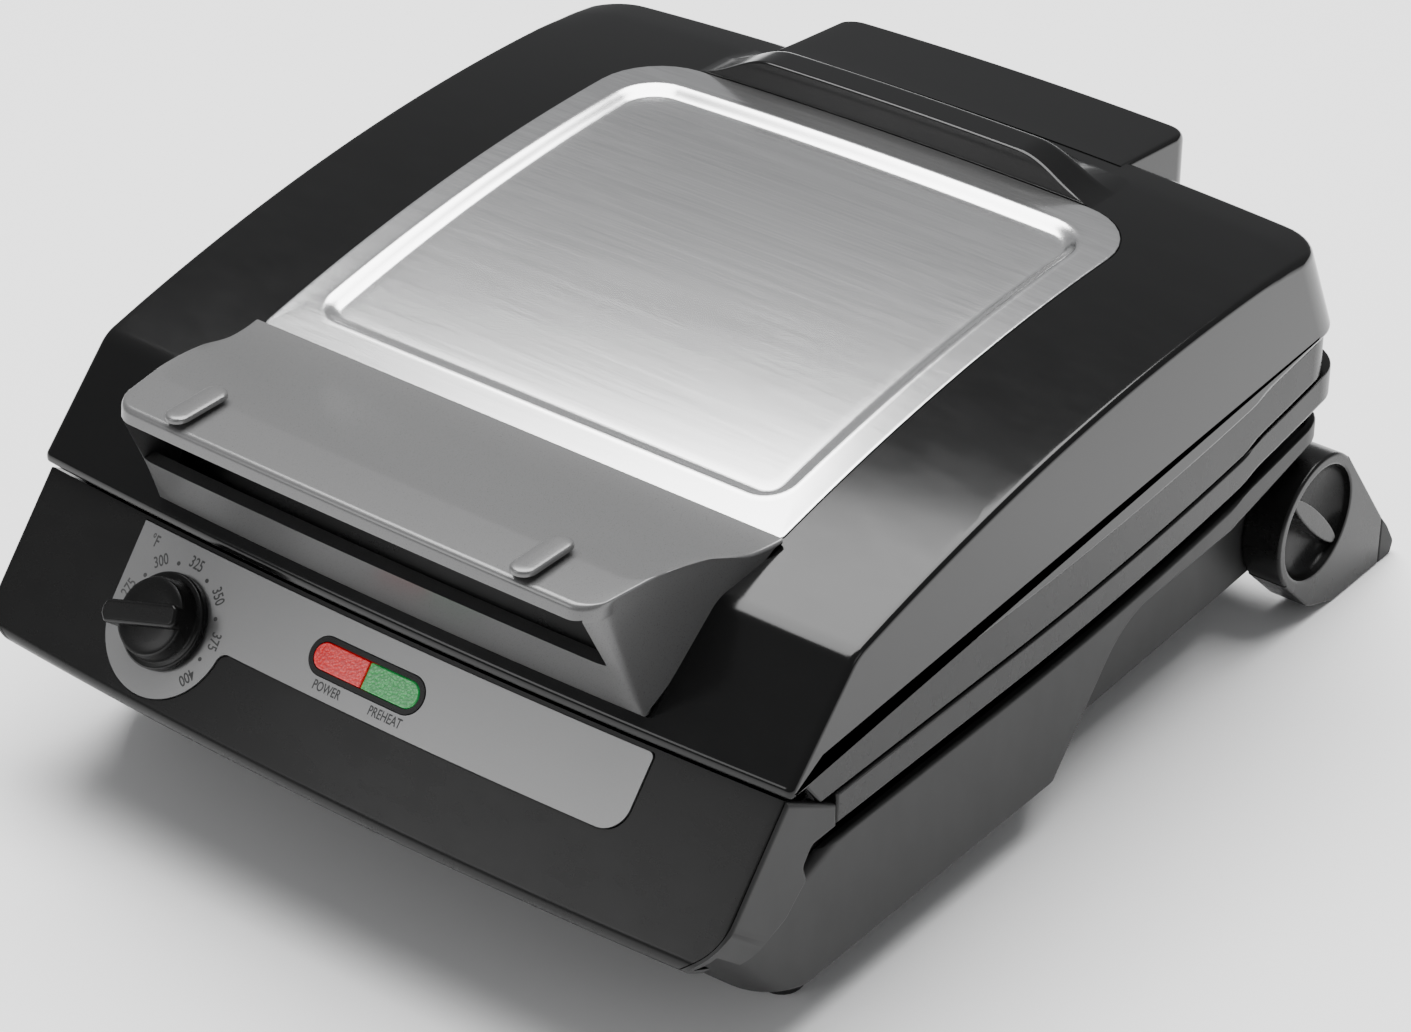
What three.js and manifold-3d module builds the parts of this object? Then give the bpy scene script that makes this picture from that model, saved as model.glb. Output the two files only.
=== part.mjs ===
// Contact grill and griddle: a low base with a lower cooking plate, a lid with an upper one,
// a temperature dial on a leaning front panel, and a fold-down stand under the back edge.
// Millimetres. X is the width, Y runs from the front (-) to the back (+), Z is up from the table.
import * as THREE from 'three';
import { mergeVertices } from 'three/addons/utils/BufferGeometryUtils.js';
import Module from 'manifold-3d';

const wasm = await Module();
wasm.setup();

// ---------------------------------------------------------------- driving dimensions

const GAP = 0.3; // between pieces that touch
const WALL = 3; // moulded shells
const ACROSS_STEPS = 12; // divisions of a moulded shell across the width

// Every long edge across the width is a shallow curve, and the lid's top is slightly domed.
const PLAN = { halfWidth: 160, bow: 5, reach: 166, crown: 3.5, crownFrom: 112, crownTo: 165 };

// The parting line and its neighbours are level at the front and lift towards the hinge.
const RISE = { from: -45, reach: 149, height: 9 };
const LEVEL = { bead: 111.7, seam: 92.4, rimFoot: 80, panelTop: 69 };
const SEAM_OPEN = 0.5; // half of the slit at the parting line

const LID = { halfWidth: 159.5, front: -166.3, foot: 104.6, nose: 108.2, shoulder: [-134, 141.2],
  shoulderRadius: 14, topAt: 78, top: 168.5, topRadius: 824, back: 138, backFoot: 156, corner: 18 };
const RIDGE = { front: 98, top: 112, back: 119, height: 12, halfWidth: 86, flat: 56 };
const BOX = { halfWidth: 76, front: 132, back: 176.5, drop: 3.6, foot: 85, corner: 8 };
const STEEL = { halfWidth: 110, front: -106.2, back: 98, cornerFront: 3, cornerBack: 25, sheet: 1.2,
  proud: 0.4, ledge: 8, trayHalfWidth: 93, trayFront: -87.7, trayBack: 78, bevel: 6, depth: 2.6 };
const HANDLE = { halfWidth: 111, taper: 0.145, taperFrom: -115, tip: [-164.2, 112.1], band: 134.2, lip: [-185.4, 156.6], wall: 3.2,
  endWall: 5, corner: 14, top: 166, heel: 2.2 };
const PAD = { x: 72.2, y: -173.3, length: 25, width: 9, height: 2.2 };
const SKIRT = { halfWidth: 157, front: -148, back: 156, corner: 18, trayHalfWidth: 134,
  trayFront: -131, trayBack: 145, roof: 122, share: 0.88 };

const RIM = { halfWidth: 157, front: -139.4, back: 163, corner: 18, trayHalfWidth: 134,
  trayFront: -131, trayBack: 142.5, floor: 70.4, noseHalfWidth: 149.4, nose: -158.5, noseFoot: 63 };
const SHELL = { halfWidth: 153, foot: 20, front: -161.5, brow: [-194.8, 58.4], back: 161, corner: 16, nose: 18,
  narrowHalfWidth: 138.3, narrowBack: 165, narrowFoot: 26, narrowCorner: 3 };
const ARCH = { start: -10, corner: [30, 65], radius: 35, middle: [102, 67], end: [161, 78], ledge: 2.4,
  slant: 0.889 };
const FASCIA = { halfWidth: 157.8, top: -165.5, level: 103.5, lean: 40.4, length: 62, corner: 22,
  cheek: [-140, 88], cheekFoot: [-140, 79.6], wall: 3, frame: 1.1 };
const INLAY = { left: -109.5, right: 109.2, top: 1.6, foot: 29.1, corner: 9, thick: 1.2,
  recess: 0.9, clearance: 0.4 };
const DIAL = { x: -82.3, s: 28.5, radius: 16.75, flange: 3.2, height: 14.5, bar: 8, ring: 25.5,
  start: 197, sweep: 235, shaft: 3, standOff: 0.8 };
const LENS = { left: -21.7, right: 22.3, s: 15.6, width: 9, bezel: 2, proud: 1.2 };

const HINGE = { y: 170, z: 96, pin: 3.7, boss: 11, bracketIn: 79.5, bracketOut: 91, bay: 93.5,
  bayFront: 151 };
const PLATE = { halfWidth: 130, front: -127, back: 133, corner: 22, gap: 7, rim: 2.5, rimWidth: 6,
  channel: 1.6, channelWidth: 9, thick: 8.5 };
const ELEMENT = { radius: 3.3, halfWidth: 96, front: -92, back: 98, below: 12.2 };
const REFLECTOR = { halfWidth: 130.5, front: -126, back: 138, sheet: 0.8, height: 6, below: 18.8 };

const STAND = { y: 155.6, z: 42, radius: 26.7, inner: 138.6, outer: 154.7, dish: 22.8,
  dishDepth: 10.5, fin: 7, tail: [209, 14.5], toe: [215, 5], heel: 172, tipLength: 11, pin: 5 };
const CROSSBAR = { front: 196.5, back: 207.5, foot: 7, top: 18.5 };
const FOOT = { x: 130, y: -131, radius: 8.3, taper: 0.9 };
const COVER = { thick: 2.5, screwHead: 3.3, screwShank: 1.5, boss: 5 };
const SCREWS = [[145.4, -118], [131.2, 112]];
const GLAND = { x: -112, z: 52, radius: 7.5, bore: 4, length: 12 };

// ---------------------------------------------------------------- finishes

const finish = (color, roughness, metalness = 0) =>
  new THREE.MeshStandardMaterial({ color, roughness, metalness });
const GLOSS_BLACK = finish(0x1c1b1d, 0.16);
const BASE_GREY = finish(0x3b3b3d, 0.42);
const SATIN_BLACK = finish(0x242325, 0.38);
const SILVER = finish(0x9c9c9e, 0.34, 0.75);
const HANDLE_SILVER = finish(0x8f8f8f, 0.36, 0.35);
const STEEL_BRUSHED = finish(0xc9c9c7, 0.28, 1);
const BRIGHT_METAL = finish(0xb8b9bb, 0.3, 1);
const COATED_PLATE = finish(0x26262a, 0.5, 0.3);
const RED = finish(0xc5181c, 0.18);
const GREEN = finish(0x2b9a49, 0.18);
const RUBBER = finish(0x161616, 0.8);
const CERAMIC = finish(0xd8d2c4, 0.6);

// ---------------------------------------------------------------- outlines

const rise = (y) => RISE.height * (Math.max(0, y - RISE.from) / RISE.reach) ** 2;
const lidTop = (y) => LID.top - (y - LID.topAt) ** 2 / (2 * LID.topRadius);

/** A point on the lid's front slope, t back from its nose and raised square to the slope. */
function lidSlope(t, raised) {
  const [shoulderY, shoulderZ] = LID.shoulder;
  const climb = (shoulderZ - LID.nose) / (shoulderY - LID.front);
  const length = Math.hypot(1, climb);
  return [LID.front + t - (raised * climb) / length, LID.nose + t * climb + raised / length];
}

/** Points of a curve z = height(y) from one y to another. */
function run(from, to, count, height) {
  return Array.from({ length: count + 1 }, (_, i) => {
    const y = from + ((to - from) * i) / count;
    return [y, height(y)];
  });
}

/** A closed outline whose corners [a, b, radius] are rounded by arcs. */
function outline(corners, stepDegrees = 20) {
  const points = [];
  corners.forEach(([a, b, radius = 0], i) => {
    const here = new THREE.Vector2(a, b);
    if (radius === 0) {
      points.push([a, b]);
      return;
    }
    const [pa, pb] = corners[(i + corners.length - 1) % corners.length];
    const [na, nb] = corners[(i + 1) % corners.length];
    const back = new THREE.Vector2(pa, pb).sub(here).normalize();
    const on = new THREE.Vector2(na, nb).sub(here).normalize();
    const half = Math.acos(THREE.MathUtils.clamp(back.dot(on), -1, 1)) / 2;
    const centre = back.clone().add(on).normalize().multiplyScalar(radius / Math.sin(half)).add(here);
    const start = here.clone().addScaledVector(back, radius / Math.tan(half)).sub(centre).angle();
    const turn = Math.PI - 2 * half;
    const sign = back.x * on.y - back.y * on.x > 0 ? -1 : 1;
    const count = Math.max(2, Math.ceil(THREE.MathUtils.radToDeg(turn) / stepDegrees));
    for (let k = 0; k <= count; k++) {
      const angle = start + (sign * turn * k) / count;
      points.push([centre.x + radius * Math.cos(angle), centre.y + radius * Math.sin(angle)]);
    }
  });
  return points;
}

/** A rectangle in plan with rounded front and back corners. */
function rectangle(halfWidth, front, back, frontRadius, backRadius) {
  return outline([[-halfWidth, front, frontRadius], [halfWidth, front, frontRadius],
    [halfWidth, back, backRadius], [-halfWidth, back, backRadius]]);
}

/** The bow of the long edges and the dome of the lid, as a map of space. */
function bend(x, y, z) {
  const across = 1 - (x / PLAN.halfWidth) ** 2;
  const share = (z - PLAN.crownFrom) / (PLAN.crownTo - PLAN.crownFrom);
  const lift = THREE.MathUtils.clamp(share, 0, 1);
  return [x, y * (1 + (PLAN.bow / PLAN.reach) * across), z + PLAN.crown * across * lift];
}

/** Divides the long edges of an outline, so that they can follow the bow. */
function divided(points, step = 24) {
  return points.flatMap(([x, y], i) => {
    const [nx, ny] = points[(i + 1) % points.length];
    const count = Math.max(1, Math.ceil(Math.abs(nx - x) / step));
    return Array.from({ length: count }, (_, k) => [x + ((nx - x) * k) / count,
      y + ((ny - y) * k) / count]);
  });
}

/** A plan outline bowed with the body. */
const bowed = (points) => divided(points).map(([x, y]) => bend(x, y, 0).slice(0, 2));

// ---------------------------------------------------------------- solids

/** A manifold solid from any closed three.js geometry. */
function solid(geometry) {
  geometry.deleteAttribute('normal');
  geometry.deleteAttribute('uv');
  const merged = mergeVertices(geometry, 1e-4);
  const vertProperties = new Float32Array(merged.attributes.position.array);
  const triVerts = new Uint32Array(merged.index.array);
  return new wasm.Manifold(new wasm.Mesh({ numProp: 3, vertProperties, triVerts }));
}

const shapeOf = (points) => new THREE.Shape(points.map(([a, b]) => new THREE.Vector2(a, b)));

/** Extrudes an outline by depth along local Z and moves each point by a map. */
function extruded(points, depth, steps, map) {
  const geometry = new THREE.ExtrudeGeometry(shapeOf(points), { depth, steps, bevelEnabled: false });
  const position = geometry.attributes.position;
  for (let i = 0; i < position.count; i++) {
    position.setXYZ(i, ...map(position.getX(i), position.getY(i), position.getZ(i)));
  }
  return solid(geometry);
}

/** How far a rounded back corner pulls the back edge in at x. */
function cornerPull(x, halfWidth, radius) {
  const past = Math.max(0, Math.abs(x) - (halfWidth - radius));
  return radius - Math.sqrt(Math.max(0, radius ** 2 - past ** 2));
}

/** A side outline (y, z) carried across the width, bent with the body, with round plan corners. */
function section(points, halfWidth, corner = 0, roundFrom = 95, share = () => 1, nose = 0) {
  return extruded(points, 1, ACROSS_STEPS, (y, z, t) => {
    const x = halfWidth * share(y) * Math.sin(Math.PI * (t - 0.5));
    const back = THREE.MathUtils.clamp((y - roundFrom) / 24, 0, 1);
    const front = THREE.MathUtils.clamp((-120 - y) / 24, 0, 1);
    const pull = cornerPull(x, halfWidth, nose) * front - cornerPull(x, halfWidth, corner) * back;
    return bend(x, y + pull, z);
  });
}

/** A plan outline between two heights. */
const prism = (points, low, high) =>
  extruded(points, high - low, 1, (x, y, z) => [x, y, z + low]);

/** A side outline (y, z) between two values of x, unbent. */
const sidePlate = (points, left, right) =>
  extruded(points, right - left, 1, (y, z, x) => [x + left, y, z]);

/** A front outline (x, z) between two values of y, unbent. */
const frontPlate = (points, front, back) =>
  extruded(points, back - front, 1, (x, z, y) => [x, back - y, z]);

const box = (x0, x1, y0, y1, z0, z1) => prism([[x0, y0], [x1, y0], [x1, y1], [x0, y1]], z0, z1);

/** A round rod between two points. */
function rod(from, to, radius, segments = 20, endRadius = radius) {
  const a = new THREE.Vector3(...from);
  const along = new THREE.Vector3(...to).sub(a);
  const geometry = new THREE.CylinderGeometry(endRadius, radius, along.length(), segments);
  geometry.translate(0, along.length() / 2, 0);
  const up = new THREE.Vector3(0, 1, 0);
  geometry.applyQuaternion(new THREE.Quaternion().setFromUnitVectors(up, along.normalize()));
  geometry.translate(a.x, a.y, a.z);
  return solid(geometry);
}

/** Mirrors a copy for the left side; the right side is the one as built. */
function mirrored(build) {
  return [['right', build(1)], ['left', build(-1)]];
}

const group = new THREE.Group();

/** Adds a solid to the model as a named mesh. */
function add(name, body, material) {
  const mesh = body.getMesh();
  const geometry = new THREE.BufferGeometry();
  geometry.setAttribute('position', new THREE.BufferAttribute(mesh.vertProperties, 3));
  geometry.setIndex(new THREE.BufferAttribute(mesh.triVerts, 1));
  const node = new THREE.Mesh(geometry, material);
  node.name = name;
  group.add(node);
}

// ---------------------------------------------------------------- the lid

/** The lid's lower edge at the side, from the back to the front, shifted by an amount. */
const beadLine = (shift, share = 1) =>
  run(LID.backFoot - 12, -150, 8, (y) => LEVEL.bead + rise(y) * share + shift);

/** The lid's side outline, drawn in by a wall thickness all round but at the foot. */
function lidOutline(inset) {
  const [shoulderY, shoulderZ] = LID.shoulder;
  const drop = inset * 1.05;
  const crest = run(shoulderY + 18, LID.back - 10, 9, (y) => lidTop(y) - drop);
  const foot = inset > 0 ? -8 : 0;
  return [
    [LID.front + inset, LID.foot + foot],
    [LID.front + inset, LID.nose + inset * 0.4],
    ...outline([[LID.front, LID.nose], [shoulderY + inset * 0.6, shoulderZ - drop, LID.shoulderRadius],
      [shoulderY + 22, lidTop(shoulderY + 22) - drop]]).slice(1, -1),
    ...crest,
    [LID.back - inset * 0.9, lidTop(LID.back) - 0.6 - drop],
    [LID.backFoot - inset * 1.1, LEVEL.bead + rise(LID.backFoot) + foot],
    ...beadLine(foot),
    [-157, LID.foot + foot],
  ];
}

/** The raised rib behind the steel panel, with ends that run out into the lid. */
function ridge() {
  const top = lidTop(RIDGE.front) + RIDGE.height;
  const rib = section(outline([[RIDGE.front, 158], [RIDGE.front, top, 2], [RIDGE.top, top - 0.5, 4],
    [RIDGE.back + 6, lidTop(RIDGE.back) - 1], [RIDGE.back + 6, 158]]), RIDGE.halfWidth);
  const low = lidTop(RIDGE.front) - 6;
  const high = top + PLAN.crown + 1;
  const ends = outline([[-RIDGE.halfWidth, low], [RIDGE.halfWidth, low],
    [RIDGE.halfWidth, low + 8, 6], [RIDGE.flat, high, 24], [-RIDGE.flat, high, 24],
    [-RIDGE.halfWidth, low + 8, 6]]);
  return rib.intersect(frontPlate(ends, RIDGE.front - 20, RIDGE.back + 30));
}

/** The housing at the lid's back that carries the hinge, drawn in by a wall. */
function boxOutline(inset) {
  const top = lidTop(BOX.front) - inset;
  const foot = inset > 0 ? -4 : 0;
  return outline([[BOX.front - inset, top], [LID.back + 4, top - 1],
    [BOX.back - inset, top - BOX.drop, inset > 0 ? 0 : 3], [BOX.back - inset, BOX.foot + foot],
    [BOX.back - 24 + inset, BOX.foot + foot], [BOX.back - 24 + inset, 118], [BOX.front - inset, 130]]);
}

/** Whatever lies between two depths below the lid's domed top. */
function underTop(above, below, halfWidth = 125) {
  const upper = run(-112, 112, 8, (y) => lidTop(y) + above);
  const lower = run(112, -112, 8, (y) => lidTop(y) - below);
  return section([...upper, ...lower], halfWidth);
}

const steelOutline = (inset) => bowed(rectangle(STEEL.halfWidth - inset, STEEL.front + inset,
  STEEL.back - inset, STEEL.cornerFront, STEEL.cornerBack - inset));
const trayOutline = (grow) => bowed(rectangle(STEEL.trayHalfWidth + grow, STEEL.trayFront - grow,
  STEEL.trayBack + grow, 4 + grow, 10 + grow));

function lidShell() {
  const outer = section(lidOutline(0), LID.halfWidth, LID.corner)
    .add(ridge())
    .add(section(boxOutline(0), BOX.halfWidth, BOX.corner, BOX.back - 24));
  const hollow = section(lidOutline(WALL), LID.halfWidth - WALL, LID.corner - WALL)
    .add(section(boxOutline(WALL), BOX.halfWidth - WALL, BOX.corner - WALL, BOX.back - 24));
  const pocket = prism(steelOutline(-GAP), 100, 200).intersect(underTop(12, STEEL.sheet + 0.4));
  const hole = prism(trayOutline(STEEL.bevel + 1), 120, 200);
  const bore = rod([-BOX.halfWidth - 5, HINGE.y, HINGE.z], [BOX.halfWidth + 5, HINGE.y, HINGE.z],
    HINGE.pin + GAP);
  return outer.subtract(hollow).subtract(pocket).subtract(hole).subtract(bore);
}

/** The pressed steel cover: a flat rim with a shallow tray inside a bevel. */
function steelPanel() {
  const rim = prism(steelOutline(0), 100, 200).intersect(underTop(STEEL.proud, STEEL.sheet - 0.4));
  const tray = prism(trayOutline(STEEL.bevel), 100, 200)
    .intersect(underTop(0, STEEL.depth + STEEL.sheet));
  const dish = prism(trayOutline(STEEL.bevel - STEEL.sheet), 100, 200)
    .intersect(underTop(6, STEEL.depth));
  return rim.add(tray).subtract(dish);
}

/** The handle's side outline: a lip in front, a waist behind, a foot on the lid's slope. */
function handleOutline() {
  const [tipY, tipZ] = HANDLE.tip;
  const [lipY, lipZ] = HANDLE.lip;
  const [shoulderY] = LID.shoulder;
  const rear = STEEL.front - GAP - 0.3;
  const sweep = new THREE.CubicBezierCurve(new THREE.Vector2(rear, lidTop(rear) + HANDLE.heel),
    new THREE.Vector2(-128, 149), new THREE.Vector2(-140, 157.5), new THREE.Vector2(-166, 159.2));
  return [
    ...sweep.getPoints(9).map((p) => [p.x, p.y]),
    [lipY + 4.5, lipZ + 1.7],
    [lipY + 1.2, lipZ + 0.7],
    [lipY, lipZ - 1],
    [tipY, tipZ],
    lidSlope(4, GAP + 0.2),
    lidSlope(shoulderY - LID.front, GAP + 0.2),
    ...run(shoulderY + 12, rear, 3, (y) => lidTop(y) + GAP + 0.2),
  ];
}

/** The back of the finger hollow, from its foot round to under the lip, drawn in by d. */
function gripBack(d) {
  const [tipY, tipZ] = HANDLE.tip;
  return [[tipY + 2 + d * 0.3, tipZ + 8 + d], [tipY + 6.2 - d * 0.2, tipZ + 8 + d],
    [-137.5 - d * 1.1, 143.5], [-140 - d * 0.9, 151 - d], [-152 - d * 0.3, 154.8 - d], [-166, 157 - d]];
}

/** The hollow that the fingers reach into, from the front. */
function gripOutline() {
  return [[-190, HANDLE.band], [HANDLE.tip[0] - 9 + HANDLE.wall, HANDLE.band], ...gripBack(0),
    [-182, 155.2], [-190, 152]];
}

/** How the handle narrows from its foot to its lip, as a share of the full width. */
const handleShare = (y) => 1 + (HANDLE.taper * (y - HANDLE.taperFrom)) / HANDLE.halfWidth;

/** A side outline carried across the narrowing handle. */
const handleSection = (points, halfWidth) => section(points, halfWidth, 0, 95, handleShare);

function handle() {
  const [, tipZ] = HANDLE.tip;
  const ends = outline([[-HANDLE.halfWidth, tipZ - 10], [HANDLE.halfWidth, tipZ - 10],
    [HANDLE.halfWidth, HANDLE.top, HANDLE.corner], [-HANDLE.halfWidth, HANDLE.top, HANDLE.corner]]);
  const rounded = extruded(ends, 140, 1, (x, z, d) => [x * handleShare(-80 - d), -80 - d, z]);
  return handleSection(handleOutline(), HANDLE.halfWidth)
    .intersect(rounded)
    .subtract(handleSection(gripOutline(), HANDLE.halfWidth - HANDLE.endWall));
}

/** The black insert that lines the back of the finger hollow. */
function handleLiner() {
  const outlineOfLiner = [...gripBack(GAP + 0.1), ...gripBack(HANDLE.wall).reverse()];
  return handleSection(outlineOfLiner, HANDLE.halfWidth - HANDLE.endWall - GAP);
}

/** A raised rest pad on the handle, lying front to back. */
function restPad(side) {
  const half = PAD.length / 2;
  const r = PAD.width / 2;
  const plan = outline([[-r, -half, r], [r, -half, r], [r, half, r], [-r, half, r]], 30)
    .map(([x, y]) => [side * PAD.x + x, PAD.y + y]);
  const points = side > 0 ? plan : plan.reverse();
  const top = handleOutline().slice(0, 11);
  const [lastY] = top[top.length - 1];
  const lifted = [...top.map(([y, z]) => [y, z + PAD.height]), [lastY - 1, top[10][1] + PAD.height],
    [lastY - 1, top[10][1] + GAP], ...top.map(([y, z]) => [y, z + GAP]).reverse()];
  return prism(points, 120, 200).intersect(section(lifted, HANDLE.halfWidth));
}

/** The moulded surround of the upper plate: a band under the lid and a tray inside it. */
function upperHousing() {
  const foot = (y) => LEVEL.seam + SEAM_OPEN + rise(y);
  const band = [...run(SKIRT.front, SKIRT.back, 10, foot),
    [SKIRT.back, LEVEL.bead + rise(SKIRT.back) * SKIRT.share - GAP], ...beadLine(-GAP, SKIRT.share),
    [-157 + GAP, LID.foot - GAP]];
  const channel = [...run(SKIRT.front + WALL + 1, SKIRT.back - WALL, 10, (y) => foot(y) + WALL),
    [SKIRT.back - WALL, 140], [SKIRT.front, 140], [-157 + WALL + 1, LID.foot + 1]];
  const tray = [...run(SKIRT.trayFront, SKIRT.trayBack, 8, (y) => foot(y) + 0.5),
    [SKIRT.trayBack, SKIRT.roof], [SKIRT.trayFront, SKIRT.roof]];
  const inside = [[SKIRT.trayFront + WALL, 60], [SKIRT.trayBack - WALL, 60],
    [SKIRT.trayBack - WALL, SKIRT.roof - WALL], [SKIRT.trayFront + WALL, SKIRT.roof - WALL]];
  return section(band, SKIRT.halfWidth, SKIRT.corner)
    .subtract(section(channel, SKIRT.halfWidth - WALL, SKIRT.corner - WALL))
    .add(section(tray, SKIRT.trayHalfWidth, 6))
    .subtract(section(inside, SKIRT.trayHalfWidth - WALL, 4))
    .subtract(box(-BOX.halfWidth - 1, BOX.halfWidth + 1, SKIRT.trayBack + 3, 190, 80, 140));
}

// ---------------------------------------------------------------- plates and heaters

const middle = HINGE.z; // the plates face each other across the hinge's height

/** A cooking plate with a raised rim and a channel round the flat; side -1 is the lower one. */
function cookingPlate(side) {
  const at = (depth) => middle + side * (PLATE.gap / 2 + depth);
  const slice = (inset, from, to) => {
    const points = rectangle(PLATE.halfWidth - inset, PLATE.front + inset, PLATE.back - inset,
      PLATE.corner - inset * 0.6, PLATE.corner - inset * 0.6);
    return prism(points, Math.min(at(from), at(to)), Math.max(at(from), at(to)));
  };
  const channel = slice(PLATE.rimWidth, -1, PLATE.rim + PLATE.channel)
    .subtract(slice(PLATE.rimWidth + PLATE.channelWidth, -2, PLATE.thick));
  return slice(0, 0, PLATE.thick).subtract(slice(PLATE.rimWidth, -1, PLATE.rim)).subtract(channel);
}

/** A tubular heater bent into a double loop, its two cold ends at the back. */
function heatingElement(side) {
  const z = middle + side * (PLATE.gap / 2 + ELEMENT.below);
  const { halfWidth: w, front: f, back: b, radius } = ELEMENT;
  const bendAt = 22;
  const path = new THREE.CurvePath();
  const at = (x, y) => new THREE.Vector3(x, y, z);
  const corners = [[-w + 62, b], [-w + 62, f + 60], [-w, f + 60], [-w, f], [w, f], [w, f + 60],
    [w - 62, f + 60], [w - 62, b]];
  let from = at(...corners[0]);
  corners.slice(1, -1).forEach(([x, y], i) => {
    const corner = at(x, y);
    const before = corner.clone().sub(at(...corners[i])).setLength(bendAt);
    const after = at(...corners[i + 2]).sub(corner).setLength(bendAt);
    const start = corner.clone().sub(before);
    const end = corner.clone().add(after);
    path.add(new THREE.LineCurve3(from, start));
    path.add(new THREE.QuadraticBezierCurve3(start, corner, end));
    from = end;
  });
  path.add(new THREE.LineCurve3(from, at(...corners[corners.length - 1])));
  const round = outline([[-radius, -radius, radius], [radius, -radius, radius],
    [radius, radius, radius], [-radius, radius, radius]], 50);
  const unique = round.filter(([a, c], i) => {
    const [pa, pc] = round[(i + round.length - 1) % round.length];
    return Math.hypot(a - pa, c - pc) > 1e-3;
  });
  return solid(new THREE.ExtrudeGeometry(shapeOf(unique), { extrudePath: path, steps: 44 }));
}

/** A shallow sheet-metal tray that throws the heat back at the plate. */
function reflector(side) {
  const floor = middle + side * (PLATE.gap / 2 + REFLECTOR.below);
  const lip = floor - side * REFLECTOR.height;
  const slice = (inset, from, to) => prism(rectangle(REFLECTOR.halfWidth - inset,
    REFLECTOR.front + inset, REFLECTOR.back - inset, 14 - inset, 14 - inset),
  Math.min(from, to), Math.max(from, to));
  return slice(0, floor, lip).subtract(slice(REFLECTOR.sheet, floor - side * REFLECTOR.sheet,
    lip - side));
}

// ---------------------------------------------------------------- the base

/** The bay in the base's back where the lid's hinge housing turns, grown by a wall. */
const hingeBay = (grow) =>
  box(-HINGE.bay - grow, HINGE.bay + grow, HINGE.bayFront - grow, 200, 0, 130);

/** The tray that carries the lower plate, with the rim that shows round the sides. */
function lowerHousing() {
  const top = (y) => LEVEL.seam - SEAM_OPEN + rise(y);
  const foot = (y) => LEVEL.rimFoot + rise(y);
  const band = [...run(RIM.front, RIM.back, 10, foot), ...run(RIM.back, RIM.front, 10, top)];
  const nose = [[RIM.nose, RIM.noseFoot], [RIM.front + 2, RIM.noseFoot],
    [RIM.front + 2, top(0) - 0.6], [RIM.nose, top(0) - 5]];
  const channel = [...run(RIM.front + WALL, RIM.back - WALL, 10, (y) => top(y) - WALL),
    [RIM.back - WALL, 50], [RIM.front + WALL, 50]];
  const tray = [[RIM.trayFront, RIM.floor], [RIM.trayBack, RIM.floor],
    ...run(RIM.trayBack, RIM.trayFront, 8, (y) => top(y) - 0.5)];
  const inside = [[RIM.trayFront + WALL, RIM.floor + WALL], [RIM.trayBack - WALL, RIM.floor + WALL],
    [RIM.trayBack - WALL, 140], [RIM.trayFront + WALL, 140]];
  return section(band, RIM.halfWidth, RIM.corner)
    .subtract(section(channel, RIM.halfWidth - WALL, RIM.corner - WALL))
    .add(section(nose, RIM.noseHalfWidth))
    .add(section(tray, RIM.trayHalfWidth, 4))
    .subtract(section(inside, RIM.trayHalfWidth - WALL, 3))
    .subtract(hingeBay(0));
}

/** The base's side outline out to the full width, with the arch over the stand. */
function wideOutline(inset) {
  const [archY, archZ] = ARCH.corner;
  const [browY, browZ] = SHELL.brow;
  const top = (y) => LEVEL.panelTop + rise(y);
  const open = inset > 0 ? 10 : 0;
  const ledge = inset > 0 ? ARCH.ledge : 0;
  return [
    [SHELL.front + inset * 1.3 + open * 0.87, SHELL.foot - open],
    ...outline([[ARCH.start - (inset + open) * ARCH.slant - inset * 0.5, SHELL.foot - open],
      [archY - inset * 0.6, archZ + ledge, ARCH.radius],
      [ARCH.middle[0], ARCH.middle[1] + ledge], [ARCH.end[0] - inset, ARCH.end[1] + ledge]]),
    [SHELL.back - inset, top(SHELL.back) + open],
    ...run(145, -140, 9, (y) => top(y) + open),
    [-150, LEVEL.panelTop - 0.5 + open],
    [-164, 64 + open],
    [browY + inset * 1.3 - open * 0.87, browZ + open],
  ];
}

/** The narrower body between the stand's legs, up to the ledge over the arch. */
function narrowOutline(inset) {
  const open = inset > 0 ? 12 : 0;
  const ledge = inset > 0 ? 14 : ARCH.ledge / 2;
  const lead = inset > 0 ? 18 : 0;
  const [archY, archZ] = ARCH.corner;
  return [[ARCH.start - WALL - lead, SHELL.foot - open], [SHELL.narrowBack - inset, SHELL.narrowFoot - open],
    [SHELL.narrowBack - inset, ARCH.end[1] + ledge], [ARCH.middle[0], ARCH.middle[1] + ledge],
    [archY + 20, archZ + ledge], [archY - 12 - lead, archZ - 14 + ledge]];
}

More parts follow.
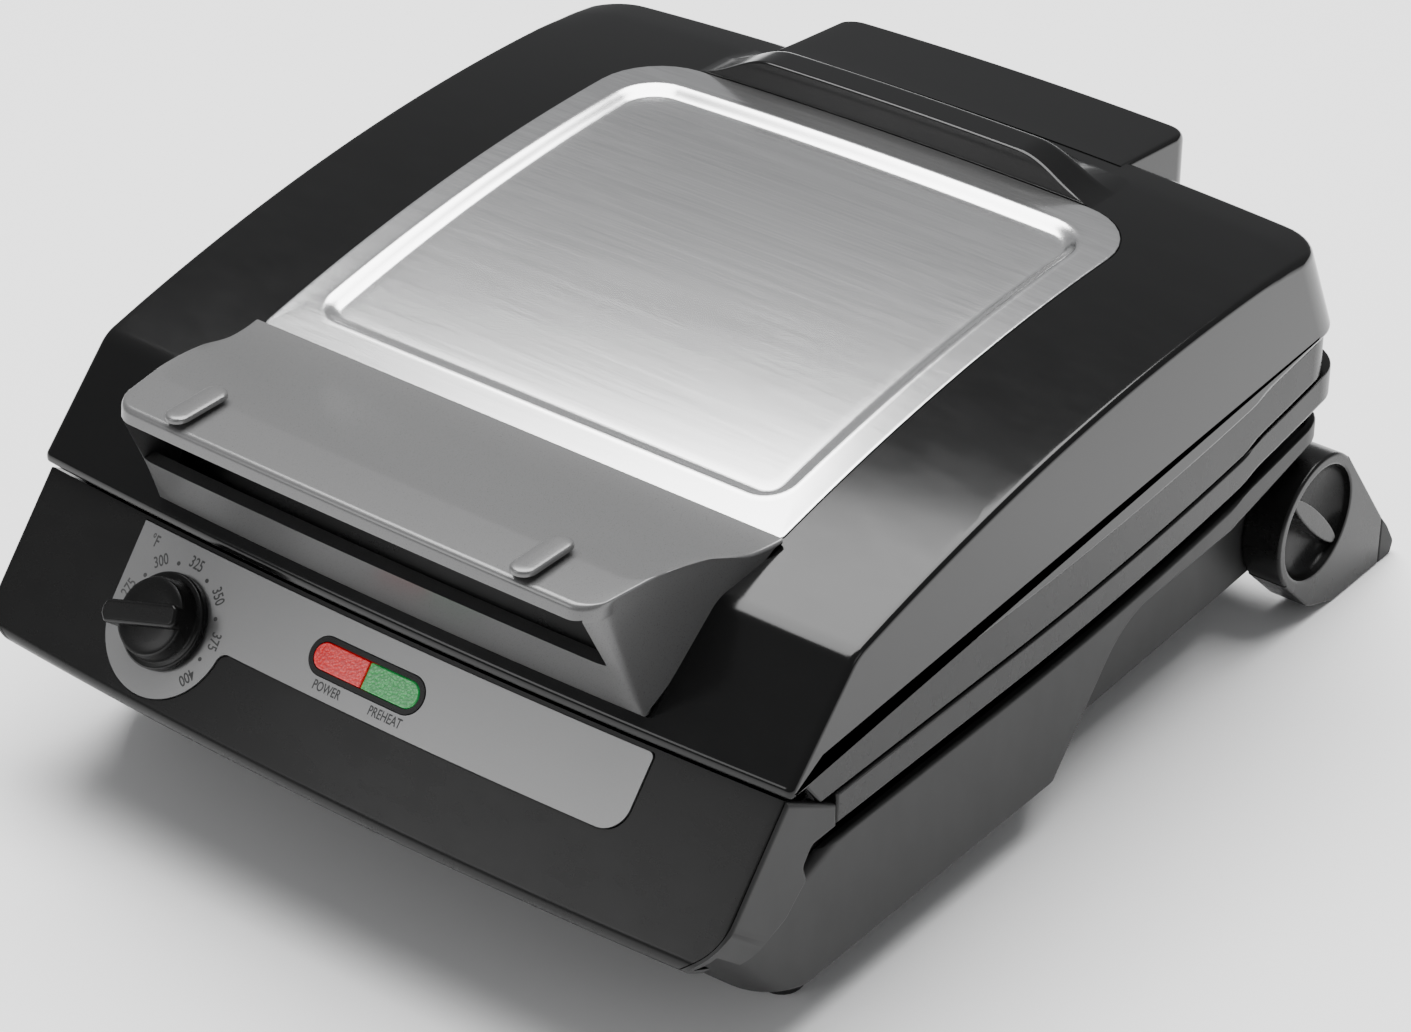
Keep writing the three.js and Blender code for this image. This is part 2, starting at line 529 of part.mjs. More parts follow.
function baseShell() {
  const whole = () => 1;
  const outer = section(wideOutline(0), SHELL.halfWidth, SHELL.corner, 95, whole, SHELL.nose)
    .add(section(narrowOutline(0), SHELL.narrowHalfWidth, SHELL.narrowCorner))
    .subtract(hingeBay(0));
  const hollow = section(wideOutline(WALL), SHELL.halfWidth - WALL, SHELL.corner - WALL, 95, whole,
    SHELL.nose - WALL)
    .add(section(narrowOutline(WALL), SHELL.narrowHalfWidth - WALL))
    .subtract(hingeBay(WALL));
  let shell = outer.subtract(hollow);
  mirrored((side) => side).forEach(([, side]) => {
    SCREWS.forEach(([x, y], i) => {
      const low = coverFoot(y) + COVER.thick + GAP;
      const reach = i === 0 ? SHELL.halfWidth - 1 : SHELL.narrowHalfWidth - 1;
      const post = rod([side * x, y, low], [side * x, y, low + 18], COVER.boss)
        .add(box(Math.min(side * x, side * reach), Math.max(side * x, side * reach), y - 2, y + 2,
          low, low + 18));
      const bore = rod([side * x, y, low - 2], [side * x, y, low + 14], COVER.screwShank + GAP, 12);
      shell = shell.add(post).subtract(bore);
    });
    const out = [side * (SHELL.narrowHalfWidth + 4), STAND.y, STAND.z];
    shell = shell.subtract(rod([side * 120, STAND.y, STAND.z], out, STAND.pin + GAP));
  });
  return shell.subtract(rod([GLAND.x, 150, GLAND.z], [GLAND.x, 190, GLAND.z], GLAND.radius - 1.2));
}

/** The height of the bottom cover's underside, which climbs towards the back. */
function coverFoot(y) {
  const share = Math.max(0, y - ARCH.start) / (SHELL.narrowBack - ARCH.start);
  return SHELL.foot + (SHELL.narrowFoot - SHELL.foot) * share;
}

function bottomCover() {
  const strip = (from, to, halfWidth, nose = 0) => section([[from, coverFoot(from)],
    [-130, coverFoot(-130)], [to, coverFoot(to)], [to, coverFoot(to) + COVER.thick],
    [-130, coverFoot(-130) + COVER.thick], [from, coverFoot(from) + COVER.thick]]
    .filter(([y]) => y !== -130 || from < -130), halfWidth, 0, 95, () => 1, nose);
  const front = SHELL.front + WALL * 1.3 + 1;
  let cover = strip(front, ARCH.start - WALL - 2, SHELL.halfWidth - WALL - GAP,
    SHELL.nose - WALL)
    .add(strip(ARCH.start - WALL - 3, SHELL.narrowBack - WALL - 1, SHELL.narrowHalfWidth - WALL - GAP))
    .subtract(hingeBay(WALL + GAP));
  mirrored((side) => side).forEach(([, side]) => {
    SCREWS.forEach(([x, y]) => {
      const z = coverFoot(y);
      cover = cover.subtract(rod([side * x, y, z - 4], [side * x, y, z + 6],
        COVER.screwShank + GAP, 12));
    });
  });
  return cover;
}

function coverScrew(x, y) {
  const z = coverFoot(y) - GAP;
  return rod([x, y, z - 1.8], [x, y, z], COVER.screwHead * 0.8, 14, COVER.screwHead)
    .add(rod([x, y, z - 0.2], [x, y, z + 14], COVER.screwShank, 10));
}

// ---------------------------------------------------------------- the front panel

const lean = THREE.MathUtils.degToRad(FASCIA.lean);

/** A point of the front panel before bending: x across, s down the slope, n out of it. */
function onSlope(x, s, n) {
  return [x, FASCIA.top - s * Math.sin(lean) - n * Math.cos(lean),
    FASCIA.level - s * Math.cos(lean) + n * Math.sin(lean)];
}

/** What lies between two heights over the front panel's bowed face. */
function overSlope(low, high, halfWidth = FASCIA.halfWidth + 5) {
  const corners = [[-12, low], [80, low], [80, high], [-12, high]];
  return section(corners.map(([s, n]) => onSlope(0, s, n).slice(1)), halfWidth);
}

/** An outline (x, s) on the front panel, carried square to it. */
function slopePrism(points, low = -20, high = 20) {
  return extruded(divided(points), high - low, 1, (x, s, n) => bend(...onSlope(x, s, high - n)));
}

/** The front panel's outline (x, s) on its slope, drawn in all round. */
function fasciaOutline(inset) {
  const w = FASCIA.halfWidth - inset;
  const foot = FASCIA.length + 0.5 - inset;
  return outline([[-w, -30], [w, -30], [w, foot, FASCIA.corner - inset],
    [-w, foot, FASCIA.corner - inset]], 12);
}

/** The hood over the base's front: its sloping face, its lower lip and its two cheeks. */
function frontHood() {
  const edge = onSlope(0, FASCIA.length, 0).slice(1);
  const [cheekY, cheekZ] = FASCIA.cheek;
  const [lipY, lipZ] = onSlope(0, FASCIA.length - 4, -FASCIA.wall).slice(1);
  const outer = outline([[FASCIA.top, FASCIA.level], [edge[0], edge[1], 5], [-188, 51.5, 6],
    [-165.5, 58.5, 8], [-154.5, 68, 2], [-156.5, 74, 3], [-152.5, 79.4, 3], FASCIA.cheekFoot,
    [cheekY, cheekZ]]);
  const inner = [onSlope(0, -12, -FASCIA.wall).slice(1), [lipY, lipZ],
    [SHELL.brow[0] - 1.4, lipZ - 0.7], [SHELL.brow[0] - 1.4, 40], [-120, 40], [-120, 130]];
  return section(outer, FASCIA.halfWidth)
    .subtract(section(inner, FASCIA.halfWidth - FASCIA.wall))
    .intersect(slopePrism(fasciaOutline(0), -60, 30));
}

/** The sloping front panel, with a pocket for the inlay and holes for the dial and lights. */
function frontFascia() {
  const pocket = slopePrism(inlayOutline(INLAY.clearance)).intersect(overSlope(-INLAY.recess, 6));
  return frontHood()
    .intersect(slopePrism(fasciaOutline(FASCIA.frame + GAP), -FASCIA.wall, 30))
    .subtract(pocket)
    .subtract(slopePrism(lensOutline(LENS.bezel + GAP)))
    .subtract(dialRod(DIAL.shaft + 1, -30, 30));
}

/** The frame round the front panel: the cheeks at its ends joined by the lip under it. */
function fasciaFrame() {
  return frontHood().subtract(slopePrism(fasciaOutline(FASCIA.frame), -FASCIA.wall - GAP, 30));
}

/** The silver inlay: a strip along the top with a round lobe about the dial. */
function inlayOutline(grow) {
  const points = [[INLAY.right + grow, INLAY.top - grow],
    ...outline([[INLAY.right + grow, INLAY.top - grow], [INLAY.right + grow, INLAY.foot + grow,
      INLAY.corner], [DIAL.x + 60, INLAY.foot + grow]]).slice(1, -1)];
  const ring = DIAL.ring + grow;
  const neck = 4;
  const below = INLAY.foot + grow + neck - DIAL.s;
  const reach = Math.sqrt((ring + neck) ** 2 - below ** 2);
  const start = Math.atan2(below, reach);
  for (let k = 0; k <= 3; k++) {
    const angle = -Math.PI / 2 - ((Math.PI / 2 - start) * k) / 3;
    points.push([DIAL.x + reach + neck * Math.cos(angle), DIAL.s + below + neck * Math.sin(angle)]);
  }
  const tangent = Math.PI;
  for (let k = 1; k <= 16; k++) {
    const angle = start + ((tangent - start) * k) / 16;
    points.push([DIAL.x + ring * Math.cos(angle), DIAL.s + ring * Math.sin(angle)]);
  }
  points.push([INLAY.left + 1.2 - grow, INLAY.top - grow]);
  return points;
}

function lensOutline(grow) {
  const r = LENS.width / 2 + grow;
  return outline([[LENS.left - grow, LENS.s - r, r], [LENS.right + grow, LENS.s - r, r],
    [LENS.right + grow, LENS.s + r, r], [LENS.left - grow, LENS.s + r, r]], 30);
}

function controlPanel() {
  return slopePrism(inlayOutline(0))
    .intersect(overSlope(-INLAY.recess + GAP, INLAY.thick - INLAY.recess + GAP))
    .subtract(slopePrism(lensOutline(LENS.bezel + GAP)))
    .subtract(dialRod(DIAL.shaft + 1, -30, 30));
}

/** The dark frame that holds the two lenses. */
function indicatorBezel() {
  return slopePrism(lensOutline(LENS.bezel))
    .intersect(overSlope(-7, 0.9))
    .subtract(slopePrism(lensOutline(GAP)).intersect(overSlope(-5, 5)))
    .subtract(slopePrism(outline([[-16, LENS.s - 3], [16, LENS.s - 3], [16, LENS.s + 3],
      [-16, LENS.s + 3]])));
}

function indicatorLens(side) {
  const centre = (LENS.left + LENS.right) / 2;
  const half = side < 0 ? box(-60, centre - 0.2, -300, 0, 0, 200) : box(centre + 0.2, 60, -300, 0, 0, 200);
  return slopePrism(lensOutline(0)).intersect(overSlope(-4.7, LENS.proud)).intersect(half);
}

/** The dial's own axes: across, down the slope, out of the panel, where the panel is bowed. */
function dialFrame() {
  const origin = new THREE.Vector3(...bend(...onSlope(DIAL.x, DIAL.s, 0)));
  const beside = new THREE.Vector3(...bend(...onSlope(DIAL.x + 1, DIAL.s, 0))).sub(origin);
  const down = new THREE.Vector3(...bend(...onSlope(DIAL.x, DIAL.s + 1, 0))).sub(origin);
  const out = down.clone().cross(beside).normalize();
  const across = beside.normalize();
  const up = out.clone().cross(across).normalize();
  return new THREE.Matrix4().makeBasis(across, up, out).setPosition(origin);
}

/** A solid drawn on the dial's own axes, with Z out of the panel, put in its place. */
function onDial(geometry) {
  geometry.applyMatrix4(dialFrame());
  return solid(geometry);
}

/** A rod along the dial's axis. */
function dialRod(radius, from, to, segments = 20) {
  const geometry = new THREE.CylinderGeometry(radius, radius, to - from, segments);
  geometry.rotateX(Math.PI / 2);
  geometry.translate(0, 0, (from + to) / 2);
  return onDial(geometry);
}

/** The knob: a stepped disc with a pointed bar across it. */
function temperatureKnob() {
  const { radius: r, flange, height, standOff: low } = DIAL;
  const profile = [[0, low], [r, low], [r, low + flange - 0.8], [r - 0.8, low + flange],
    [r - 2.2, low + flange + 0.8], [r - 2.6, height - 5], [r - 4, height - 3.6], [0, height - 3.2]];
  const disc = new THREE.LatheGeometry(profile.map(([a, b]) => new THREE.Vector2(a, b)), 28);
  disc.rotateX(Math.PI / 2);
  const half = DIAL.bar / 2;
  const bar = outline([[-r + 3, -half, 2], [r - 1, -half], [r + 0.6, -1.2], [r + 0.6, 1.2],
    [r - 1, half], [-r + 3, half, 2]]);
  const grip = new THREE.ExtrudeGeometry(shapeOf(bar),
    { depth: height - low - flange + 0.6, bevelEnabled: false });
  grip.translate(0, 0, low + flange - 0.6);
  grip.rotateZ(THREE.MathUtils.degToRad(DIAL.start));
  return onDial(disc).add(onDial(grip)).subtract(dialRod(DIAL.shaft + GAP, -5, height - 6));
}

function thermostat() {
  const casing = new THREE.BoxGeometry(26, 22, 11);
  casing.translate(0, 0, -13.5);
  const bush = dialRod(DIAL.shaft + 2.6, -9, -FASCIA.wall - 2.2);
  return onDial(casing).add(bush).subtract(dialRod(DIAL.shaft + GAP, -25, 5));
}

/** A small lamp behind a lens. */
function indicatorLamp(side) {
  const centre = (LENS.left + LENS.right) / 2;
  const place = (n) => bend(...onSlope(centre + side * 11, LENS.s, n));
  return rod(place(-18), place(-7.8), 2.4, 16);
}

// ---------------------------------------------------------------- the stand

/** A leg: a round hub with a flat-footed tail, dished for the fingers with a fin across it. */
function standLeg(side) {
  const { y, z, radius: r, tail, toe, heel } = STAND;
  const hub = outline([[y - r, z - r, r], [y + r, z - r, r], [y + r, z + r, r], [y - r, z + r, r]], 15);
  const [tailY, tailZ] = tail;
  const foot = outline([[y - r * 0.76, z - r * 0.66], [y - 2, 6.5, 12], [heel, 0, 10],
    [toe[0] - STAND.tipLength, 0], [toe[0] - STAND.tipLength, tailZ + STAND.tipLength * 0.55],
    [y + r * 0.72, z + r * 0.7], [y, z]]);
  const span = side > 0 ? [STAND.inner, STAND.outer] : [-STAND.outer, -STAND.inner];
  const face = side * STAND.outer;
  const dish = rod([face - side * STAND.dishDepth, y, z], [face + side, y, z], STAND.dish - 1.2, 32,
    STAND.dish);
  const fin = outline([[-STAND.dish - 1, -STAND.fin / 2], [STAND.dish + 1, -STAND.fin / 2],
    [STAND.dish + 1, STAND.fin / 2], [-STAND.dish - 1, STAND.fin / 2]])
    .map(([a, b]) => [y + (a + b) * Math.SQRT1_2, z + (b - a) * Math.SQRT1_2]);
  const finSpan = [face - side * STAND.dishDepth - side, face - side * 2.5];
  const bore = rod([side * (STAND.inner - 2), y, z], [side * (STAND.inner + 4), y, z],
    STAND.pin + GAP);
  return sidePlate(hub, ...span)
    .add(sidePlate(foot, ...span))
    .subtract(dish)
    .add(sidePlate(fin, Math.min(...finSpan), Math.max(...finSpan)))
    .subtract(bore);
}

/** The rubber tip that closes the tail's end. */
function standTip(side) {
  const { tail, toe, tipLength } = STAND;
  const start = toe[0] - tipLength + GAP;
  const points = outline([[start, 0], [toe[0] - 2, 0, 2], [toe[0], toe[1], 3], [tail[0], tail[1], 3],
    [start, tail[1] + (tipLength - GAP) * 0.5]]);
  const span = side > 0 ? [STAND.inner, STAND.outer] : [-STAND.outer, -STAND.inner];
  return sidePlate(points, ...span);
}

function crossbar() {
  const { front, back, foot, top } = CROSSBAR;
  const points = outline([[front, foot, 2], [back, foot, 2], [back, top, 2], [front, top, 2]]);
  return sidePlate(points, -STAND.inner + GAP, STAND.inner - GAP);
}

/** The pivot that a leg turns on, fixed in the base's side wall. */
function standPivot(side) {
  const at = (x) => [side * x, STAND.y, STAND.z];
  return rod(at(SHELL.narrowHalfWidth - WALL - 2.5), at(STAND.inner + 3.6), STAND.pin);
}

// ---------------------------------------------------------------- hinge, feet and gland

function hingeBracket(side) {
  const { y, z, boss } = HINGE;
  const points = outline([[HINGE.bayFront + GAP, z - boss], [y + boss, z - boss, boss],
    [y + boss, z + boss, boss], [HINGE.bayFront + GAP, z + boss]], 22.5);
  const span = side > 0 ? [HINGE.bracketIn, HINGE.bracketOut]
    : [-HINGE.bracketOut, -HINGE.bracketIn];
  return sidePlate(points, ...span)
    .subtract(rod([side * 60, y, z], [side * 100, y, z], HINGE.pin + GAP));
}

function hingePin(side) {
  const at = (x) => [side * x, HINGE.y, HINGE.z];
  return rod(at(BOX.halfWidth - WALL - 4), at(HINGE.bracketOut + 1.5), HINGE.pin)
    .add(rod(at(HINGE.bracketOut + GAP), at(HINGE.bracketOut + 2.3), HINGE.pin + 2));
}

/** The plate that closes the underside of the hinge housing. */
function hingeCover() {
  const { halfWidth, back, foot } = BOX;
  return section([[back - 24 + WALL + 1, foot + 1], [back - WALL - 1, foot + 1],
    [back - WALL - 1, foot + 3.5], [back - 24 + WALL + 1, foot + 3.5]],
  halfWidth - WALL - GAP, BOX.corner - WALL, back - 24);
}

function frontFoot(side) {
  const at = (z) => [side * FOOT.x, FOOT.y, z];
  return rod(at(0), at(1.5), FOOT.radius - 1, 24, FOOT.radius)
    .add(rod(at(1.5), at(SHELL.foot - GAP), FOOT.radius, 24, FOOT.radius * FOOT.taper));
}

/** The bush in the back wall that the mains lead comes out of. */
function cordGland() {
  const wallY = bend(GLAND.x, SHELL.narrowBack, 0)[1];
  const at = (y) => [GLAND.x, y, GLAND.z];
  return rod(at(wallY + GAP), at(wallY + GLAND.length), GLAND.radius, 20, GLAND.radius - 2.5)
    .add(rod(at(wallY - WALL - 2), at(wallY + 1), GLAND.radius - 1.2 - GAP))
    .subtract(rod(at(wallY - WALL - 5), at(wallY + GLAND.length + 2), GLAND.bore, 16));
}

function terminalBlock() {
  return box(-122, -94, 112, 128, coverFoot(128) + COVER.thick + GAP, 46);
}

// ---------------------------------------------------------------- assembly

add('lid_shell', lidShell(), GLOSS_BLACK);
add('steel_top_panel', steelPanel(), STEEL_BRUSHED);
add('lid_handle', handle(), HANDLE_SILVER);
add('handle_liner', handleLiner(), SATIN_BLACK);
mirrored(restPad).forEach(([side, body]) => add(`handle_rest_pad_${side}`, body, HANDLE_SILVER));
add('upper_housing', upperHousing(), SATIN_BLACK);
add('upper_reflector', reflector(1), BRIGHT_METAL);
add('upper_heating_element', heatingElement(1), BRIGHT_METAL);
add('upper_cooking_plate', cookingPlate(1), COATED_PLATE);
add('hinge_housing_cover', hingeCover(), SATIN_BLACK);

add('base_shell', baseShell(), BASE_GREY);
add('bottom_cover', bottomCover(), BASE_GREY);
add('lower_housing', lowerHousing(), SATIN_BLACK);
add('lower_reflector', reflector(-1), BRIGHT_METAL);
add('lower_heating_element', heatingElement(-1), BRIGHT_METAL);
add('lower_cooking_plate', cookingPlate(-1), COATED_PLATE);
add('front_fascia', frontFascia(), SATIN_BLACK);
add('fascia_frame', fasciaFrame(), BASE_GREY);
add('control_panel', controlPanel(), SILVER);
add('indicator_bezel', indicatorBezel(), SATIN_BLACK);
add('power_lens', indicatorLens(-1), RED);
add('preheat_lens', indicatorLens(1), GREEN);
add('power_lamp', indicatorLamp(-1), CERAMIC);
add('preheat_lamp', indicatorLamp(1), CERAMIC);
add('thermostat_body', thermostat(), CERAMIC);
add('thermostat_shaft', dialRod(DIAL.shaft, -18.5, DIAL.height - 6.5), BRIGHT_METAL);
add('temperature_knob', temperatureKnob(), SATIN_BLACK);
add('cord_gland', cordGland(), RUBBER);
add('terminal_block', terminalBlock(), CERAMIC);
mirrored(hingeBracket).forEach(([side, body]) => add(`hinge_bracket_${side}`, body, BASE_GREY));
mirrored(hingePin).forEach(([side, body]) => add(`hinge_pin_${side}`, body, BRIGHT_METAL));
mirrored(frontFoot).forEach(([side, body]) => add(`front_foot_${side}`, body, RUBBER));
mirrored((side) => side).forEach(([name, side]) => {
  SCREWS.forEach(([x, y], i) => {
    const place = i === 0 ? 'front' : 'back';
    add(`cover_screw_${place}_${name}`, coverScrew(side * x, y), BRIGHT_METAL);
  });
});

mirrored(standLeg).forEach(([side, body]) => add(`stand_leg_${side}`, body, SATIN_BLACK));
mirrored(standTip).forEach(([side, body]) => add(`stand_tip_${side}`, body, RUBBER));
mirrored(standPivot).forEach(([side, body]) => add(`stand_pivot_${side}`, body, BRIGHT_METAL));
add('stand_crossbar', crossbar(), SATIN_BLACK);

// The origin is on the table under the middle of the whole.
const middleY = new THREE.Box3().setFromObject(group).getCenter(new THREE.Vector3()).y;
group.children.forEach((node) => node.geometry.translate(0, -middleY, 0));

export default group;
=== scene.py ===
"""A contact grill and griddle: every visible piece with its shape, finish and print.

Lengths are in millimetres up to the moment a mesh is written, where they become metres.
X is the width, Y runs from the front to the hinge, Z is up from the table.
"""

import logging
import math
from dataclasses import dataclass
from enum import Enum
from typing import Callable, Optional, Sequence, Union

import bmesh
import bpy
import numpy as np
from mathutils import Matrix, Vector


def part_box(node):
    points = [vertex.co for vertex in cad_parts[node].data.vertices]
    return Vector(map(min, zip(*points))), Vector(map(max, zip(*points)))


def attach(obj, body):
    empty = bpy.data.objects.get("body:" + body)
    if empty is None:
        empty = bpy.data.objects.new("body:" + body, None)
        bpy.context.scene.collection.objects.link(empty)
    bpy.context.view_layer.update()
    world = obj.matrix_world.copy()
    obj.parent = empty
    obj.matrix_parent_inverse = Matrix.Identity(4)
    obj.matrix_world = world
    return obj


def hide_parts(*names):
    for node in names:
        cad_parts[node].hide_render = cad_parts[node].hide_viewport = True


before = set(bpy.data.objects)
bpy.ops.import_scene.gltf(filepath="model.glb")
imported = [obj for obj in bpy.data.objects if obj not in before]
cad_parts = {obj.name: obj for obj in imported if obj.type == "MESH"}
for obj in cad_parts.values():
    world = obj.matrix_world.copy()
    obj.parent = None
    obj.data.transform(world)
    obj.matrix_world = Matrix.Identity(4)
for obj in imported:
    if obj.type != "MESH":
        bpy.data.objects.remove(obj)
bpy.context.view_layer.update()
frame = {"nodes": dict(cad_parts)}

LOG = logging.getLogger("griddle")
MM = 0.001
GAP = 0.3
WALL = 3.0
Rows = Sequence[Sequence[float]]


# ---------------------------------------------------------------- node graphs


class Value:
    """One number on a node graph: arithmetic on it adds Math nodes."""

    def __init__(self, graph: "Graph", socket: bpy.types.NodeSocket) -> None:
        """Wraps an output socket of a graph."""
        self.graph = graph
        self.socket = socket

    def _math(self, operation: str, *others: Union["Value", float]) -> "Value":
        """Adds a Math node on this value and others."""
        return self.graph.node("ShaderNodeMath", {"operation": operation}, dict(enumerate((self, *others))))

    def __add__(self, other: Union["Value", float]) -> "Value":
        """The sum."""
        return self._math("ADD", other)

    __radd__ = __add__

    def __mul__(self, other: Union["Value", float]) -> "Value":
        """The product."""
        return self._math("MULTIPLY", other)

    __rmul__ = __mul__

    def between(self, low: float, high: float) -> "Value":
        """0 below low, 1 above high and a smooth step in between."""
        return self.graph.node(
            "ShaderNodeMapRange",
            {"interpolation_type": "SMOOTHSTEP"},
            {"Value": self, "From Min": low, "From Max": high},
        )


class Graph:
    """The nodes of one material."""

    def __init__(self, name: str) -> None:
        """Makes a material with an empty Principled shader."""
        self.material = bpy.data.materials.new(name)
        self.material.use_nodes = True
        self.tree = self.material.node_tree
        self.shader = next(n for n in self.tree.nodes if n.type == "BSDF_PRINCIPLED")

    def node(self, kind: str, settings: dict, inputs: dict, output: Union[int, str] = 0) -> Value:
        """Adds a node.

        Args:
            kind: the node's type.
            settings: its properties, set before its sockets.
            inputs: numbers, colours or links for its sockets, by name or index.
            output: the output that is returned.

        Returns:
            The chosen output.
        """
        made = self.tree.nodes.new(kind)
        for name, setting in settings.items():
            setattr(made, name, setting)
        for name, entry in inputs.items():
            if isinstance(entry, Value):
                self.tree.links.new(entry.socket, made.inputs[name])
            else:
                made.inputs[name].default_value = entry
        return Value(self, made.outputs[output])

    def place(
        self, scale: Sequence[float] = (1.0, 1.0, 1.0), turn: Sequence[float] = (0.0, 0.0, 0.0)
    ) -> Value:
        """The place on the object, stretched and turned."""
        raw = self.node("ShaderNodeTexCoord", {}, {}, "Object")
        return self.node(
            "ShaderNodeMapping", {}, {"Vector": raw, "Scale": tuple(scale), "Rotation": tuple(turn)}
        )

    def noise(self, where: Value, scale: float, detail: float = 3.0, roughness: float = 0.5) -> Value:
        """Fractal noise about 0.5."""
        return self.node(
            "ShaderNodeTexNoise",
            {},
            {"Vector": where, "Scale": scale, "Detail": detail, "Roughness": roughness},
        )

    def blend(self, share: Value, low: Sequence[float], high: Sequence[float]) -> Value:
        """A colour between two colours."""
        return self.node(
            "ShaderNodeMix",
            {"data_type": "RGBA"},
            {0: share, 6: (*low[:3], 1.0), 7: (*high[:3], 1.0)},
            2,
        )

    def bump(self, height: Value, strength: float, distance: float) -> None:
        """Raises the surface by a height in metres times a strength."""
        made = self.node("ShaderNodeBump", {}, {"Height": height, "Strength": strength, "Distance": distance})
        self.tree.links.new(made.socket, self.shader.inputs["Normal"])

    def put(self, **sockets: Union[Value, float, Sequence[float]]) -> None:
        """Sets or links the shader's sockets; an underscore stands for a space."""
        for name, entry in sockets.items():
            target = self.shader.inputs[name.replace("_", " ")]
            if isinstance(entry, Value):
                self.tree.links.new(entry.socket, target)
            else:
                target.default_value = entry


def grey(level: float, warmth: float = 0.0) -> tuple:
    """A grey with a little red or blue in it."""
    return (level * (1 + warmth), level, level * (1 - warmth))


@dataclass(frozen=True)
class MouldedPlastic:
    """Injection-moulded plastic: a base colour with a fine spark-eroded grain or a polish."""

    name: str
    colour: tuple
    roughness: float
    grain: float = 2600.0
    depth: float = 0.02
    drift: float = 0.05
    coat: float = 0.0
    specular: float = 0.5

    def build(self) -> bpy.types.Material:
        """Builds the material: cloudy colour, smudged roughness and grain.

        Returns:
            The material.
        """
        g = Graph(self.name)
        where = g.place()
        cloud = g.noise(where, 14.0, 4.0)
        fine = g.noise(where, self.grain, 2.0)
        smudge = g.noise(g.place((1.0, 2.2, 1.0), (0.0, 0.0, 0.6)), 42.0, 5.0, 0.65)
        low = tuple(c * (1 - self.drift) for c in self.colour)
        high = tuple(c * (1 + self.drift) for c in self.colour)
        g.put(
            Base_Color=g.blend(cloud * 0.7 + fine * 0.3, low, high),
            Roughness=smudge * 0.12 + (self.roughness - 0.06),
            Specular_IOR_Level=self.specular,
            Coat_Weight=self.coat,
            Coat_Roughness=0.06,
        )
        g.bump(fine + smudge * 0.2, 1.0, self.depth * MM)
        return g.material


@dataclass(frozen=True)
class SilverPaint:
    """Satin silver lacquer on plastic with fine metal flake."""

    name: str
    colour: tuple
    roughness: float
    metallic: float
    flake: float = 3800.0

    def build(self) -> bpy.types.Material:
        """Builds the material: flake that sparkles in colour and gloss.

        Returns:
            The material.
        """
        g = Graph(self.name)
        where = g.place()
        flake = g.noise(where, self.flake, 1.0)
        cloud = g.noise(where, 20.0, 3.0)
        low = tuple(c * 0.88 for c in self.colour)
        high = tuple(min(1.0, c * 1.12) for c in self.colour)
        g.put(
            Base_Color=g.blend(flake * 0.75 + cloud * 0.25, low, high),
            Roughness=flake * 0.14 + (self.roughness - 0.07),
            Metallic=self.metallic,
        )
        g.bump(flake, 1.0, 0.006 * MM)
        return g.material


@dataclass(frozen=True)
class BrushedSteel:
    """Stainless sheet brushed across the width: long hairlines of uneven gloss."""

    name: str
    colour: tuple
    roughness: float
    pitch: float = 2600.0
    length: float = 16.0
    depth: float = 0.004

    def build(self) -> bpy.types.Material:
        """Builds the material: two sizes of hairline in gloss, colour and relief.

        Returns:
            The material.
        """
        g = Graph(self.name)
        fine = g.noise(g.place((self.length, self.pitch, self.pitch)), 1.0, 3.0, 0.6)
        broad = g.noise(g.place((self.length * 0.4, self.pitch * 0.16, self.pitch * 0.16)), 1.0, 2.0)
        lines = fine * 0.7 + broad * 0.3
        low = tuple(c * 0.93 for c in self.colour)
        high = tuple(min(1.0, c * 1.05) for c in self.colour)
        g.put(
            Base_Color=g.blend(lines.between(0.3, 0.7), low, high),
            Roughness=lines * 0.1 + (self.roughness - 0.05),
            Metallic=1.0,
        )
        g.bump(lines, 1.0, self.depth * MM)
        return g.material


@dataclass(frozen=True)
class CoatedMetal:
    """Cast or rolled metal with a plain surface: pits, stains and uneven gloss."""

    name: str
    colour: tuple
    roughness: float
    metallic: float
    pits: float = 700.0

    def build(self) -> bpy.types.Material:
        """Builds the material: stains and small pits.

        Returns:
            The material.
        """
        g = Graph(self.name)
        where = g.place()
        pits = g.noise(where, self.pits, 4.0, 0.6)
        stain = g.noise(where, 25.0, 5.0, 0.6)
        low = tuple(c * 0.8 for c in self.colour)
        high = tuple(min(1.0, c * 1.15) for c in self.colour)
        g.put(
            Base_Color=g.blend(stain * 0.6 + pits * 0.4, low, high),
            Roughness=stain * 0.2 + (self.roughness - 0.1),
            Metallic=self.metallic,
        )
        g.bump(pits, 1.0, 0.03 * MM)
        return g.material


@dataclass(frozen=True)
class LampLens:
    """A clear coloured lens with a prismatic back that glows softly."""

    name: str
    deep: tuple
    bright: tuple
    glow: float = 0.5

    def build(self) -> bpy.types.Material:
        """Builds the material: small prisms over a soft glow.

        Returns:
            The material.
        """
        g = Graph(self.name)
        cells = g.node("ShaderNodeTexVoronoi", {}, {"Vector": g.place(), "Scale": 1100.0})
        share = cells.between(0.1, 0.75)
        colour = g.blend(share, self.bright, self.deep)
        g.put(
            Base_Color=colour,
            Emission_Color=colour,
            Emission_Strength=self.glow,
            Roughness=share * 0.12 + 0.12,
            Coat_Weight=0.2,
            Coat_Roughness=0.05,
        )
        g.bump(cells, 0.6, 0.08 * MM)
        return g.material


